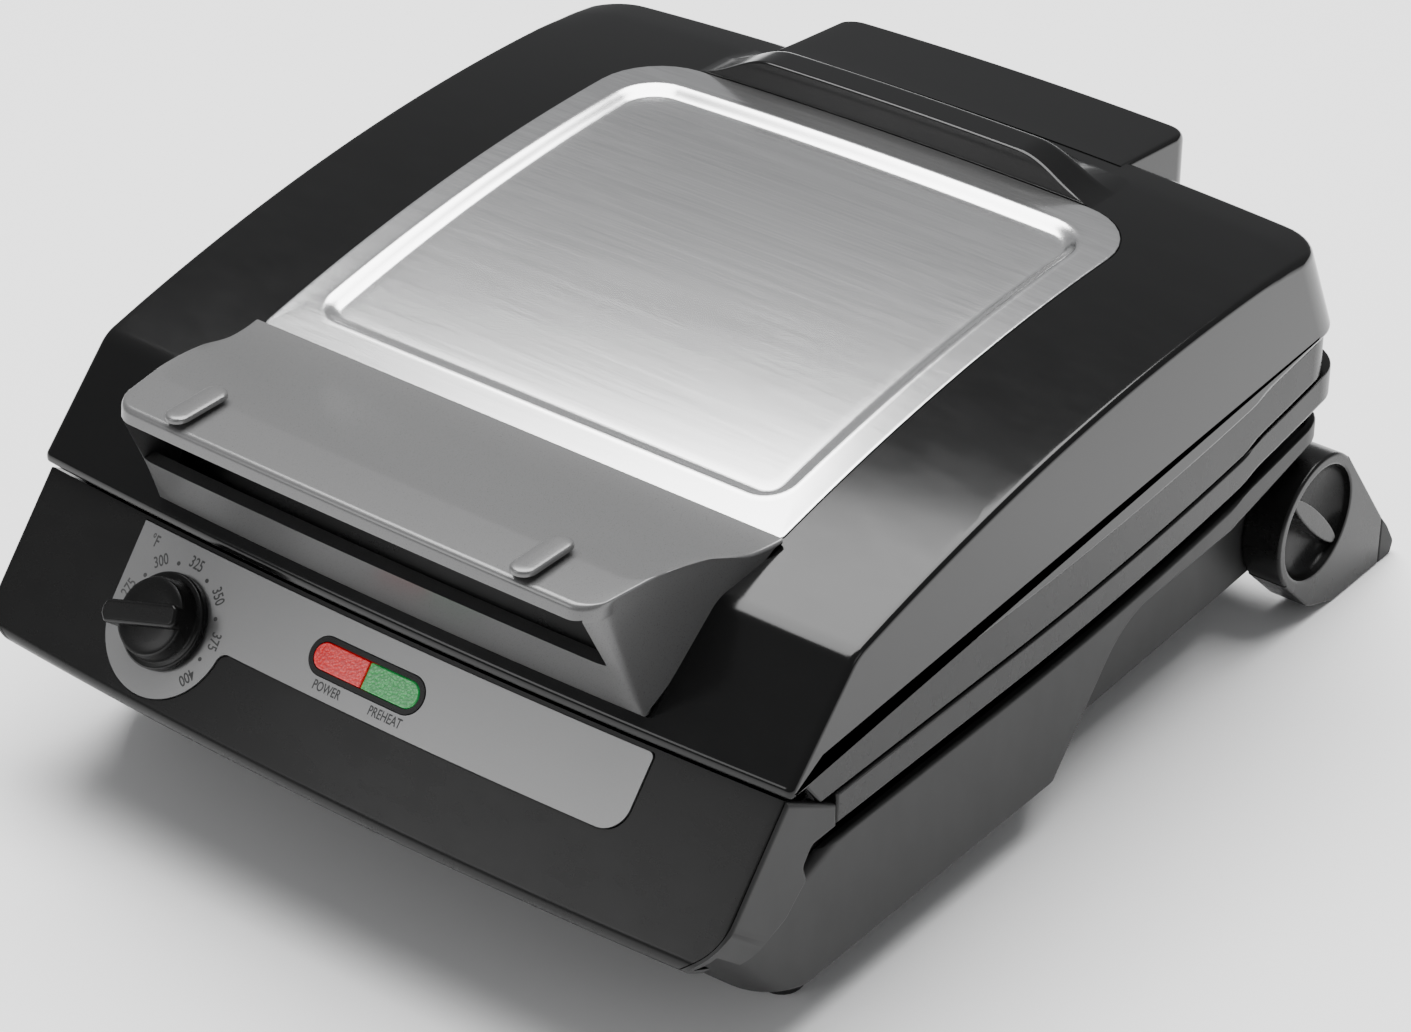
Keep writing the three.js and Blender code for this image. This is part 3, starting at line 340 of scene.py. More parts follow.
class Finish(Enum):
    """The finishes of the object, each with a short name."""

    GLOSS_BLACK = "gloss_black"
    BASE_GREY = "base_grey"
    SATIN_BLACK = "satin_black"
    SILVER_INLAY = "silver_inlay"
    SILVER_PLASTIC = "silver_plastic"
    BRUSHED_STEEL = "brushed_steel"
    BRIGHT_METAL = "bright_metal"
    REFLECTOR_SHEET = "reflector_sheet"
    COATED_PLATE = "coated_plate"
    RED_LENS = "red_lens"
    GREEN_LENS = "green_lens"
    RUBBER = "rubber"
    CERAMIC = "ceramic"


class Wardrobe:
    """Every finish of the object, built once."""

    def __init__(self) -> None:
        """Builds the materials."""
        recipes = {
            Finish.GLOSS_BLACK: MouldedPlastic(
                "gloss_black_plastic", grey(0.004), 0.15, 1800.0, 0.001, 0.1, 0.03, 0.3
            ),
            Finish.BASE_GREY: MouldedPlastic(
                "charcoal_plastic", grey(0.022), 0.42, 2600.0, 0.004, 0.06, 0.0, 0.2
            ),
            Finish.SATIN_BLACK: MouldedPlastic(
                "satin_black_plastic", grey(0.006, 0.01), 0.27, 2400.0, 0.001, 0.05, 0.0, 0.22
            ),
            Finish.SILVER_INLAY: SilverPaint("silver_inlay_paint", grey(0.22), 0.33, 0.85),
            Finish.SILVER_PLASTIC: SilverPaint("silver_handle_plastic", grey(0.15), 0.3, 0.5),
            Finish.BRUSHED_STEEL: BrushedSteel("brushed_steel_sheet", grey(0.78), 0.22),
            Finish.BRIGHT_METAL: CoatedMetal("plated_steel", grey(0.5), 0.3, 1.0),
            Finish.REFLECTOR_SHEET: BrushedSteel("rolled_aluminium", grey(0.6), 0.34),
            Finish.COATED_PLATE: CoatedMetal("nonstick_coating", grey(0.03), 0.42, 0.2),
            Finish.RED_LENS: LampLens("red_lens_plastic", (0.5, 0.0, 0.004), (0.7, 0.012, 0.01), 0.35),
            Finish.GREEN_LENS: LampLens("green_lens_plastic", (0.01, 0.22, 0.045), (0.03, 0.36, 0.08), 0.35),
            Finish.RUBBER: MouldedPlastic("black_rubber", grey(0.012), 0.7, 1600.0, 0.03),
            Finish.CERAMIC: MouldedPlastic("heat_moulding", (0.6, 0.56, 0.48), 0.6, 1200.0, 0.03),
        }
        self.materials = {finish: recipe.build() for finish, recipe in recipes.items()}
        self.print_ink = MouldedPlastic("printing_ink", grey(0.03), 0.5, 3000.0, 0.002).build()

    def __getitem__(self, finish: Finish) -> bpy.types.Material:
        """The material of a finish."""
        return self.materials[finish]


# ---------------------------------------------------------------- outlines


def outline(corners: Rows, step_degrees: float = 5.0) -> np.ndarray:
    """A closed outline whose corners (a, b, radius) are rounded by arcs.

    Each arc is centre + radius * (cos, sin) between the two points where it touches its sides.

    Args:
        corners: the corners in order.
        step_degrees: the largest step along an arc.

    Returns:
        The points as an array of (a, b).
    """
    parts = []
    for i, corner in enumerate(corners):
        here = np.array(corner[:2], float)
        radius = corner[2] if len(corner) > 2 else 0.0
        if radius == 0:
            parts.append(here[None])
            continue
        back = np.array(corners[i - 1][:2], float) - here
        on = np.array(corners[(i + 1) % len(corners)][:2], float) - here
        back /= np.linalg.norm(back)
        on /= np.linalg.norm(on)
        half = math.acos(float(np.clip(back @ on, -1, 1))) / 2
        middle = back + on
        centre = here + middle / np.linalg.norm(middle) * radius / math.sin(half)
        first = here + back * radius / math.tan(half) - centre
        turn = math.pi - 2 * half
        sign = -1.0 if back[0] * on[1] - back[1] * on[0] > 0 else 1.0
        count = max(2, math.ceil(math.degrees(turn) / step_degrees))
        angles = math.atan2(first[1], first[0]) + sign * turn * np.linspace(0, 1, count + 1)
        parts.append(centre + radius * np.stack([np.cos(angles), np.sin(angles)], 1))
    return np.concatenate(parts)


def run(start: float, end: float, count: int, height: Callable) -> np.ndarray:
    """Points (y, height(y)) from start to end.

    Args:
        start: the first y.
        end: the last y.
        count: the number of steps.
        height: a function of an array of y.

    Returns:
        The points as an array of (y, z).
    """
    y = np.linspace(start, end, count + 1)
    return np.stack([y, height(y) + 0 * y], 1)


def chain(*parts: Rows) -> np.ndarray:
    """Runs of points one after another, as one array."""
    return np.concatenate([np.atleast_2d(np.array(p, float))[:, :2] for p in parts])


def divided(points: np.ndarray, step: float = 6.0) -> np.ndarray:
    """Adds points along the long edges of a closed outline.

    Args:
        points: the outline.
        step: the longest edge that is left whole, measured along the first axis.

    Returns:
        The outline with more points: each edge is start + (end - start) * share.
    """
    after = np.roll(points, -1, 0)
    counts = np.maximum(1, np.ceil(np.abs(after[:, 0] - points[:, 0]) / step)).astype(int)
    index = np.repeat(np.arange(len(points)), counts)
    local = np.arange(len(index)) - np.repeat(np.cumsum(counts) - counts, counts)
    share = (local / counts[index])[:, None]
    return points[index] + (after - points)[index] * share


def tidy(points: np.ndarray) -> np.ndarray:
    """An outline without points that repeat the one before them."""
    keep = np.linalg.norm(points - np.roll(points, 1, 0), axis=1) > 1e-3
    return points[keep]


def inward(points: np.ndarray) -> np.ndarray:
    """How each point of an outline moves when the outline is drawn in by one.

    It is (n1 + n2) / (1 + n1 . n2), where n1 and n2 are the inward normals of the two edges.
    """
    before = points - np.roll(points, 1, 0)
    before /= np.linalg.norm(before, axis=1)[:, None]
    after = np.roll(before, -1, 0)
    b = np.roll(points, -1, 0)
    way = 1.0 if float(np.sum(points[:, 0] * b[:, 1] - b[:, 0] * points[:, 1])) > 0 else -1.0
    n1 = way * np.stack([-before[:, 1], before[:, 0]], 1)
    n2 = way * np.stack([-after[:, 1], after[:, 0]], 1)
    return (n1 + n2) / np.maximum(0.5, 1 + np.sum(n1 * n2, 1))[:, None]


def rectangle(
    half_width: float, front: float, back: float, front_radius: float, back_radius: float
) -> np.ndarray:
    """A rectangle in plan with rounded front and back corners."""
    return outline(
        [
            (-half_width, front, front_radius),
            (half_width, front, front_radius),
            (half_width, back, back_radius),
            (-half_width, back, back_radius),
        ]
    )


# ---------------------------------------------------------------- the body's form


@dataclass(frozen=True)
class Form:
    """The bow of the long edges, the dome of the lid and the lift of the seams to the back."""

    half_width: float = 160.0
    bow: float = 5.0
    reach: float = 166.0
    crown: float = 3.5
    crown_from: float = 112.0
    crown_to: float = 165.0
    rise_from: float = -45.0
    rise_reach: float = 149.0
    rise_height: float = 9.0
    bead: float = 111.7
    seam: float = 92.4
    rim_foot: float = 80.0
    panel_top: float = 69.0
    slit: float = 0.5

    def bend(self, points: np.ndarray) -> np.ndarray:
        """Bows and domes points: y grows and z lifts by 1 - (x / half width) squared.

        Args:
            points: an array of (x, y, z).

        Returns:
            The moved points.
        """
        x, y, z = np.moveaxis(points, -1, 0)
        across = 1 - (x / self.half_width) ** 2
        lift = np.clip((z - self.crown_from) / (self.crown_to - self.crown_from), 0, 1)
        return np.stack([x, y * (1 + self.bow / self.reach * across), z + self.crown * across * lift], -1)

    def rise(self, y: np.ndarray) -> np.ndarray:
        """How far the seams lift at y: a parabola that starts at rise_from."""
        return self.rise_height * (np.maximum(0, y - self.rise_from) / self.rise_reach) ** 2


FORM = Form()
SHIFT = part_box("lower_cooking_plate")[0][1] / MM + 127.0


# ---------------------------------------------------------------- solids


def grid_quads(rows: int, columns: int, close_rows: bool, close_columns: bool) -> np.ndarray:
    """Quads between the points of a grid stored row by row.

    Args:
        rows: the number of rows.
        columns: the number of points in a row.
        close_rows: whether the last row joins the first.
        close_columns: whether each row is a loop.

    Returns:
        The quads as an array of four point numbers.
    """
    r = np.arange(rows if close_rows else rows - 1)[:, None]
    c = np.arange(columns if close_columns else columns - 1)[None]
    r2, c2 = (r + 1) % rows, (c + 1) % columns
    corners = (r * columns + c, r * columns + c2, r2 * columns + c2, r2 * columns + c)
    quads = np.stack(np.broadcast_arrays(*corners), -1)
    return quads.reshape(-1, 4)


class Solid:
    """A closed mesh in millimetres that can be joined with others and cut by them."""

    def __init__(self, mesh: bpy.types.Mesh) -> None:
        """Keeps a mesh."""
        self.mesh = mesh

    @classmethod
    def from_faces(cls, points: np.ndarray, faces: list) -> "Solid":
        """A solid from points and faces, its doubles merged and its faces turned outwards."""
        mesh = bpy.data.meshes.new("solid")
        mesh.from_pydata(points.reshape(-1, 3).tolist(), [], faces)
        work = bmesh.new()
        work.from_mesh(mesh)
        bmesh.ops.remove_doubles(work, verts=work.verts, dist=1e-4)
        bmesh.ops.recalc_face_normals(work, faces=work.faces)
        work.to_mesh(mesh)
        work.free()
        return cls(mesh)

    @classmethod
    def loft(cls, rings: np.ndarray, pole: bool = False) -> "Solid":
        """A solid through rings of points, with flat ends, or with its ends drawn to points.

        Args:
            rings: an array (ring, point, 3).
            pole: whether the first and last rings are single points.

        Returns:
            The solid.
        """
        count, size = rings.shape[:2]
        faces = grid_quads(count, size, False, True).tolist()
        if not pole:
            faces.append(list(range(size))[::-1])
            faces.append(list(range((count - 1) * size, count * size)))
        return cls.from_faces(rings, faces)

    @classmethod
    def extruded(cls, points: np.ndarray, depths: np.ndarray, place: Callable, soft: float = 0.0) -> "Solid":
        """An outline carried through depths, each point (a, b, depth) moved by a map.

        Soft ends are quarter circles: the outline is drawn in by soft * (1 - sin(angle)) while the
        depth goes in from the end by soft * (1 - cos(angle)).

        Args:
            points: the outline.
            depths: where the outline is carried to, in order.
            place: the map of three arrays to points.
            soft: the radius of the edges at both ends.

        Returns:
            The solid.
        """
        points = tidy(points)
        insets = np.zeros(len(depths))
        if soft:
            angle = np.linspace(0, math.pi / 2, 5)
            draw, lead = soft * (1 - np.sin(angle)), soft * (1 - np.cos(angle))
            way = 1.0 if depths[-1] > depths[0] else -1.0
            low, high = depths[0] + way * lead, depths[-1] - way * lead
            inner = depths[(way * (depths - low[-1]) > 0.2) & (way * (high[-1] - depths) > 0.2)]
            depths = np.concatenate([low, inner, high[::-1]])
            insets = np.concatenate([draw, np.zeros(len(inner)), draw[::-1]])
        rings = points[None] + insets[:, None, None] * inward(points)[None]
        d = np.broadcast_to(depths[:, None], rings.shape[:2])
        return cls.loft(place(rings[..., 0], rings[..., 1], d))

    def _combine(self, other: "Solid", operation: str) -> "Solid":
        """Runs a boolean with another solid."""
        a = bpy.data.objects.new("a", self.mesh)
        b = bpy.data.objects.new("b", other.mesh)
        bpy.context.scene.collection.objects.link(a)
        bpy.context.scene.collection.objects.link(b)
        step = a.modifiers.new("combine", "BOOLEAN")
        step.operation = operation
        step.solver = "MANIFOLD"
        step.object = b
        bpy.context.view_layer.update()
        result = bpy.data.meshes.new_from_object(a.evaluated_get(bpy.context.evaluated_depsgraph_get()))
        bpy.data.objects.remove(a)
        bpy.data.objects.remove(b)
        return Solid(result)

    def __add__(self, other: "Solid") -> "Solid":
        """The two solids joined."""
        return self._combine(other, "UNION")

    def __sub__(self, other: "Solid") -> "Solid":
        """This solid with the other cut away."""
        return self._combine(other, "DIFFERENCE")

    def __and__(self, other: "Solid") -> "Solid":
        """What the two solids share."""
        return self._combine(other, "INTERSECT")


def section(
    points: np.ndarray,
    half_width: float,
    corner: float = 0.0,
    round_from: float = 95.0,
    nose: float = 0.0,
    share: Callable = lambda y: 1.0,
    steps: int = 64,
    soft: float = 0.0,
    shape: Callable = lambda x, y, z: z,
    nose_from: float = -1000.0,
) -> Solid:
    """A side outline (y, z) carried across the width and bent with the body.

    Across, x = half width * share(y) * sin(angle). Near the ends the back edge is drawn in, and
    the front edge back, by radius - sqrt(radius^2 - past^2), which makes round plan corners.

    Args:
        points: the outline.
        half_width: half of the width.
        corner: the radius of the back corners.
        round_from: where the back corners begin to be drawn in.
        nose: the radius of the front corners.
        share: how much of the width is left at y.
        steps: the number of steps across.
        soft: the radius of the edges round both ends.
        shape: gives a new z from (x, y, z) before the body's bend.
        nose_from: the height from which the front corners begin to be drawn back.

    Returns:
        The solid.
    """

    def pull(x: np.ndarray, radius: float) -> np.ndarray:
        past = np.maximum(0, np.abs(x) - (half_width - radius))
        return radius - np.sqrt(np.maximum(0, radius**2 - past**2))

    def place(y: np.ndarray, z: np.ndarray, across: np.ndarray) -> np.ndarray:
        x = across * share(y)
        back = np.clip((y - round_from) / 24, 0, 1)
        front = np.clip((-120 - y) / 24, 0, 1) * np.clip((z - nose_from) / 18, 0, 1)
        moved = y + pull(across, nose) * front - pull(across, corner) * back
        return FORM.bend(np.stack([x, moved, shape(x, y, z)], -1))

    across = half_width * np.sin(math.pi * (np.linspace(0, 1, steps + 1) - 0.5))
    return Solid.extruded(points, across, place, soft)


def prism(points: np.ndarray, low: float, high: float, soft: float = 0.0) -> Solid:
    """A plan outline between two heights."""
    return Solid.extruded(points, np.array([low, high]), lambda x, y, z: np.stack([x, y, z], -1), soft)


def side_plate(points: np.ndarray, left: float, right: float, soft: float = 0.0) -> Solid:
    """A side outline (y, z) between two values of x."""
    return Solid.extruded(points, np.array([left, right]), lambda y, z, x: np.stack([x, y, z], -1), soft)


def box(x0: float, x1: float, y0: float, y1: float, z0: float, z1: float) -> Solid:
    """A block between two corners."""
    return prism(np.array([(x0, y0), (x1, y0), (x1, y1), (x0, y1)], float), z0, z1)


def bowed(points: np.ndarray) -> np.ndarray:
    """A plan outline bowed with the body."""
    fine = divided(points)
    return FORM.bend(np.column_stack([fine, np.zeros(len(fine))]))[:, :2]


def turned(profile: Rows, start: Sequence[float], along: Sequence[float], segments: int = 64) -> Solid:
    """A profile (radius, height) turned about an axis: centre + height * axis + radius * around.

    Args:
        profile: the profile from one end of the axis to the other, its ends on the axis.
        start: where the axis begins.
        along: the direction of the axis.
        segments: the number of steps round it.

    Returns:
        The solid.
    """
    axis = np.array(along, float) / np.linalg.norm(along)
    side = np.cross(axis, [0.0, 0.0, 1.0] if abs(axis[2]) < 0.9 else [1.0, 0.0, 0.0])
    side /= np.linalg.norm(side)
    angle = np.linspace(0, 2 * math.pi, segments, endpoint=False)
    around = np.cos(angle)[:, None] * side + np.sin(angle)[:, None] * np.cross(axis, side)
    radius, height = np.array(profile, float).T
    rings = np.array(start, float) + height[:, None, None] * axis + radius[:, None, None] * around[None]
    return Solid.loft(rings, pole=True)


def rod(
    start: Sequence[float], end: Sequence[float], radius: float, end_radius: Optional[float] = None
) -> Solid:
    """A round rod between two points."""
    a, b = np.array(start, float), np.array(end, float)
    length = float(np.linalg.norm(b - a))
    last = radius if end_radius is None else end_radius
    return turned([(0, 0), (radius, 0), (last, length), (0, length)], a, b - a)


# ---------------------------------------------------------------- finished pieces


class Bench:
    """Turns solids into finished pieces of the object and keeps count of them."""

    def __init__(self, wardrobe: Wardrobe) -> None:
        """Keeps the finishes."""
        self.wardrobe = wardrobe
        self.made: list = []

    def finish(
        self,
        name: str,
        solid: Solid,
        finish: Finish,
        body: str,
        nodes: Sequence[str] = (),
        edge: float = 0.0,
        segments: int = 2,
        angle: float = 30.0,
        plain: bool = True,
        ink: Optional[bpy.types.Material] = None,
    ) -> bpy.types.Object:
        """Writes a solid as a piece with softened edges.

        Args:
            name: the piece's name.
            solid: its shape, in millimetres.
            finish: its finish.
            body: the moving body that it rides on.
            nodes: the plain pieces that it stands for.
            edge: how wide its edges are rounded, or 0 to leave them.
            segments: steps across a rounded edge.
            angle: the smallest fold that counts as an edge, in degrees.
            plain: whether flat neighbours are joined into one face.
            ink: a print that takes the finish's place.

        Returns:
            The piece.
        """
        work = bmesh.new()
        work.from_mesh(solid.mesh)
        bmesh.ops.remove_doubles(work, verts=work.verts, dist=0.004)
        if plain:
            bmesh.ops.dissolve_degenerate(work, edges=work.edges, dist=0.002)
            bmesh.ops.dissolve_limit(work, angle_limit=math.radians(0.03), verts=work.verts, edges=work.edges)
        bmesh.ops.scale(work, vec=(MM, MM, MM), verts=work.verts)
        bmesh.ops.translate(work, vec=(0.0, SHIFT * MM, 0.0), verts=work.verts)
        mesh = bpy.data.meshes.new(name)
        work.to_mesh(mesh)
        work.free()
        mesh.polygons.foreach_set("use_smooth", np.ones(len(mesh.polygons), bool))
        mesh.set_sharp_from_angle(angle=math.radians(angle))
        mesh.materials.append(ink or self.wardrobe[finish])
        piece = bpy.data.objects.new(name, mesh)
        bpy.context.scene.collection.objects.link(piece)
        if edge:
            bevel = piece.modifiers.new("soft_edges", "BEVEL")
            bevel.width = edge * MM
            bevel.segments = segments
            bevel.limit_method = "ANGLE"
            bevel.angle_limit = math.radians(angle)
            bevel.use_clamp_overlap = False
            bevel.miter_outer = "MITER_ARC"
        weighted = piece.modifiers.new("even_shading", "WEIGHTED_NORMAL")
        weighted.weight = 60
        weighted.keep_sharp = True
        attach(piece, body)
        if nodes:
            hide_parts(*nodes)
        self.made.append(piece)
        LOG.info("%-28s %6d faces on %s", name, len(mesh.polygons), body)
        return piece

    def dress(self, node: str, finish: Finish) -> None:
        """Gives a piece that keeps its plain shape its finish."""
        piece = frame["nodes"][node]
        for holder in piece.material_slots:
            holder.material = self.wardrobe[finish]
        LOG.info("%-28s dressed as %s", node, finish.value)


# ---------------------------------------------------------------- the lid


@dataclass(frozen=True)
class LidSizes:
    """The lid's outline, its raised rib and the hinge housing at its back."""

    half_width: float = 159.5
    front: float = -166.3
    foot: float = 104.6
    nose: float = 108.2
    shoulder: tuple = (-134.0, 141.2)
    shoulder_radius: float = 14.0
    top_at: float = 78.0
    top: float = 168.5
    top_radius: float = 824.0
    back: float = 138.0
    back_foot: float = 156.0
    corner: float = 18.0
    edge: float = 2.2
    rib_front: float = 98.0
    rib_top: float = 112.0
    rib_back: float = 119.0
    rib_height: float = 12.0
    rib_half_width: float = 88.0
    rib_run: float = 34.0
    box_half_width: float = 76.0
    box_front: float = 132.0
    box_back: float = 176.5
    box_drop: float = 3.6
    box_foot: float = 85.0
    box_corner: float = 8.0
    hinge: tuple = (170.0, 96.0)
    hinge_half: float = 81.0
    hinge_bore: float = 4.0


@dataclass(frozen=True)
class PanelSizes:
    """The pressed steel cover on the lid."""

    half_width: float = 110.0
    front: float = -106.2
    back: float = 98.0
    corner_front: float = 3.0
    corner_back: float = 25.0
    sheet: float = 1.2
    proud: float = 0.4
    tray_half_width: float = 93.0
    tray_front: float = -87.7
    tray_back: float = 78.0
    tray_corner: float = 11.0
    bevel: float = 6.0
    depth: float = 2.6


class Lid:
    """The glossy lid with its rib, its steel cover and its lower edge."""

    def __init__(self, sizes: LidSizes, panel: PanelSizes) -> None:
        """Keeps the sizes."""
        self.sizes = sizes
        self.panel = panel

    def top(self, y: np.ndarray) -> np.ndarray:
        """The height of the lid's top before the dome: a parabola about its highest line."""
        s = self.sizes
        return s.top - (y - s.top_at) ** 2 / (2 * s.top_radius)

    def slope(self, t: float, raised: float) -> tuple:
        """A point on the front slope, t back from the nose and raised square to it."""
        s = self.sizes
        climb = (s.shoulder[1] - s.nose) / (s.shoulder[0] - s.front)
        length = math.hypot(1, climb)
        return (s.front + t - raised * climb / length, s.nose + t * climb + raised / length)

    def outline(self, inset: float) -> np.ndarray:
        """The side outline, drawn in by a wall thickness all round but at the foot."""
        s = self.sizes
        sy, sz = s.shoulder
        drop = inset * 1.05
        foot = -8.0 if inset > 0 else 0.0
        fine = inset == 0
        shoulder = outline(
            [
                (s.front, s.nose),
                (sy + inset * 0.6, sz - drop, s.shoulder_radius),
                (sy + 22, self.top(sy + 22) - drop),
            ]
        )[1:-1]
        back = self.top(s.back) - 0.6 - drop
        return outline(
            [
                (s.front + inset, s.foot + foot, 1.5 if fine else 0),
                (s.front + inset, s.nose + inset * 0.4, 3.0 if fine else 0),
                *shoulder,
                *run(sy + 18, s.back - 12, 40, lambda y: self.top(y) - drop),
                (s.back - inset * 0.9, back, 5.0 if fine else 0),
                (s.back_foot - inset * 1.1, FORM.bead + FORM.rise(s.back_foot) + foot, 1.5 if fine else 0),
                *run(s.back_foot - 5, -150, 40, lambda y: FORM.bead + FORM.rise(y) + foot),
                (-157, s.foot + foot),
            ]
        )

    def box_outline(self, inset: float) -> np.ndarray:
        """The side outline of the hinge housing, drawn in by a wall."""
        s = self.sizes
        top = self.top(s.box_front) - inset
        foot = -4.0 if inset > 0 else 0.0
        start = s.box_back - 24 + inset
        return outline(
            [
                (s.box_front - inset, top),
                (s.back + 4, top - 1),
                (s.box_back - inset, top - s.box_drop, 0 if inset > 0 else 4),
                (s.box_back - inset, s.box_foot + foot, 0 if inset > 0 else 1.5),
                (start, s.box_foot + foot),
                (start, 118),
                (s.box_front - inset, 130),
            ]
        )

    def rib(self) -> Solid:
        """The rib behind the cover: its height is drawn down to nothing by a smooth step at its ends."""
        s = self.sizes
        points = outline(
            [
                (s.rib_front, -6),
                (s.rib_front, s.rib_height, 1.6),
                (s.rib_top, s.rib_height - 0.5, 5),
                (s.rib_back + 7, -0.8, 3),
                (s.rib_back + 7, -6),
            ]
        )

        def shape(x: np.ndarray, y: np.ndarray, h: np.ndarray) -> np.ndarray:
            share = np.clip((s.rib_half_width - np.abs(x)) / s.rib_run, 0, 1)
            share = share * share * (3 - 2 * share)
            return self.top(y) + np.where(h > 0, h * share, h) - 0.1

        return section(points, s.rib_half_width, shape=shape, steps=96)

    def under_top(self, above: float, below: float) -> Solid:
        """Whatever lies between two depths below the domed top."""
        reach = 112
        upper = run(-reach, reach, 24, lambda y: self.top(y) + above)
        lower = run(reach, -reach, 24, lambda y: self.top(y) - below)
        return section(chain(upper, lower), 125)

    def skin(self) -> Solid:
        """The whole moulding with its hollow, the pocket for the cover and the hinge's bore."""
        s, p = self.sizes, self.panel
        start = s.box_back - 24
        outer = (
            section(self.outline(0), s.half_width, s.corner, soft=s.edge)
            + self.rib()
            + section(self.box_outline(0), s.box_half_width, s.box_corner, start, soft=1.5)
        )
        hollow = section(self.outline(WALL), s.half_width - WALL, s.corner - WALL) + section(
            self.box_outline(WALL), s.box_half_width - WALL, s.box_corner - WALL, start
        )
        recess = bowed(
            rectangle(p.half_width + GAP, p.front - GAP, p.back + GAP, p.corner_front, p.corner_back)
        )
        pocket = prism(recess, 100, 200) & self.under_top(12, p.sheet + 0.4)
        under_tray = rectangle(p.tray_half_width + 7, p.tray_front - 7, p.tray_back + 7, 10, 17)
        hole = prism(bowed(under_tray), 120, 200)
        bore = rod((-s.hinge_half, *s.hinge), (s.hinge_half, *s.hinge), s.hinge_bore)
        return outer - hollow - pocket - hole - bore

    def ring(self, grow: float, height: float, tray: bool, count: int = 24) -> np.ndarray:
        """A rounded rectangle on the domed top with the same number of points whatever its size.

        Args:
            grow: how much the rim's or the tray's outline is grown.
            height: the height above the lid's top.
            tray: whether it follows the tray's outline instead of the rim's.
            count: steps along each side.

        Returns:
            The points (x, y, z).
        """
        p = self.panel
        if tray:
            hw, front, back = p.tray_half_width + grow, p.tray_front - grow, p.tray_back + grow
            rf, rb = p.tray_corner * 0.45 + grow, p.tray_corner + grow
        else:
            hw, front, back = p.half_width + grow, p.front - grow, p.back + grow
            rf, rb = p.corner_front + grow, p.corner_back + grow
        rf, rb = max(0.4, rf), max(0.4, rb)
        angle = np.radians(np.linspace(0, 90, 9))
        corners = [(hw - rf, front + rf, rf, -90), (hw - rb, back - rb, rb, 0)]
        corners += [(-hw + rb, back - rb, rb, 90), (-hw + rf, front + rf, rf, 180)]
        arcs = [
            np.stack([x + r * np.cos(angle + math.radians(a)), y + r * np.sin(angle + math.radians(a))], 1)
            for x, y, r, a in corners
        ]
        share = np.linspace(0, 1, count + 1)[1:-1, None]
        sides = [arcs[i][-1] + (arcs[(i + 1) % 4][0] - arcs[i][-1]) * share for i in range(4)]
        flat = np.concatenate([part for pair in zip(arcs, sides) for part in pair])
        return FORM.bend(np.column_stack([flat, self.top(flat[:, 1]) + height]))

    def cover(self) -> Solid:
        """The steel cover: rings from its middle up the bevel, over the rim and back beneath.

        The floor's rings are the tray's outline shrunk towards its middle by a share; the bevel
        falls by a smooth ramp; the rim is a straight blend from the tray's to the rim's outline.

        Returns:
            The solid.
        """
        p = self.panel
        outer, inner = self.ring(-1.2, p.proud, False), self.ring(p.bevel + 1.0, p.proud, True)
        turn = np.linspace(0, 1, 11)[1:]
        fall = np.clip((turn - 0.12) / 0.76, 0, 1) - 0.08 * np.sin(2 * math.pi * turn)
        floor = self.ring(p.bevel - 6.4, -p.depth, True)
        middle = np.array([0.0, floor[:, 1].mean()])

        def shrink(share: float, height: float) -> np.ndarray:
            flat = middle + (floor[:, :2] - middle) * share
            y = flat[:, 1] / (1 + FORM.bow / FORM.reach * (1 - (flat[:, 0] / FORM.half_width) ** 2))
            return FORM.bend(np.column_stack([flat[:, 0], y, self.top(y) + height]))

        edge = [(0.0, -0.35), (-0.12, -0.1), (-0.4, 0.0)]
        over = [self.ring(g, p.proud + h, False) for g, h in edge]
        over += [outer + (inner - outer) * k for k in np.linspace(0, 1, 9)]
        over += [
            self.ring(p.bevel + 1.0 - 7.4 * t, p.proud - (p.proud + p.depth) * f, True)
            for t, f in zip(turn, fall)
        ]
        shares = np.linspace(1, 0, 24)
        over += [shrink(k, -p.depth) for k in shares[1:]]
        under = [self.ring(0.0, p.proud - p.sheet, False), self.ring(p.bevel + 0.6, p.proud - p.sheet, True)]
        under += [shrink(k, -p.depth - p.sheet) for k in shares]
        return Solid.loft(np.stack(over[::-1] + under), pole=True)

    def build(self, bench: Bench) -> None:
        """Makes the lid's pieces."""
        skin = self.skin()
        bench.finish("lid_skin", skin, Finish.GLOSS_BLACK, "lid", ["lid_shell"], angle=34)
        cover = self.cover()
        bench.finish(
            "steel_cover", cover, Finish.BRUSHED_STEEL, "lid", ["steel_top_panel"], angle=50, plain=False
        )


# ---------------------------------------------------------------- the handle


@dataclass(frozen=True)
class HandleSizes:
    """The lift handle on the lid's front slope."""

    half_width: float = 111.0
    taper: float = 0.145
    taper_from: float = -115.0
    tip: tuple = (-164.2, 112.1)
    band: float = 134.2
    lip: tuple = (-185.4, 156.6)
    wall: float = 3.2
    end_wall: float = 5.0
    corner: float = 10.0
    heel: float = 2.2
    pad_x: float = 72.2
    pad_y: float = -173.3
    pad_length: float = 25.0
    pad_width: float = 9.0
    pad_height: float = 2.2


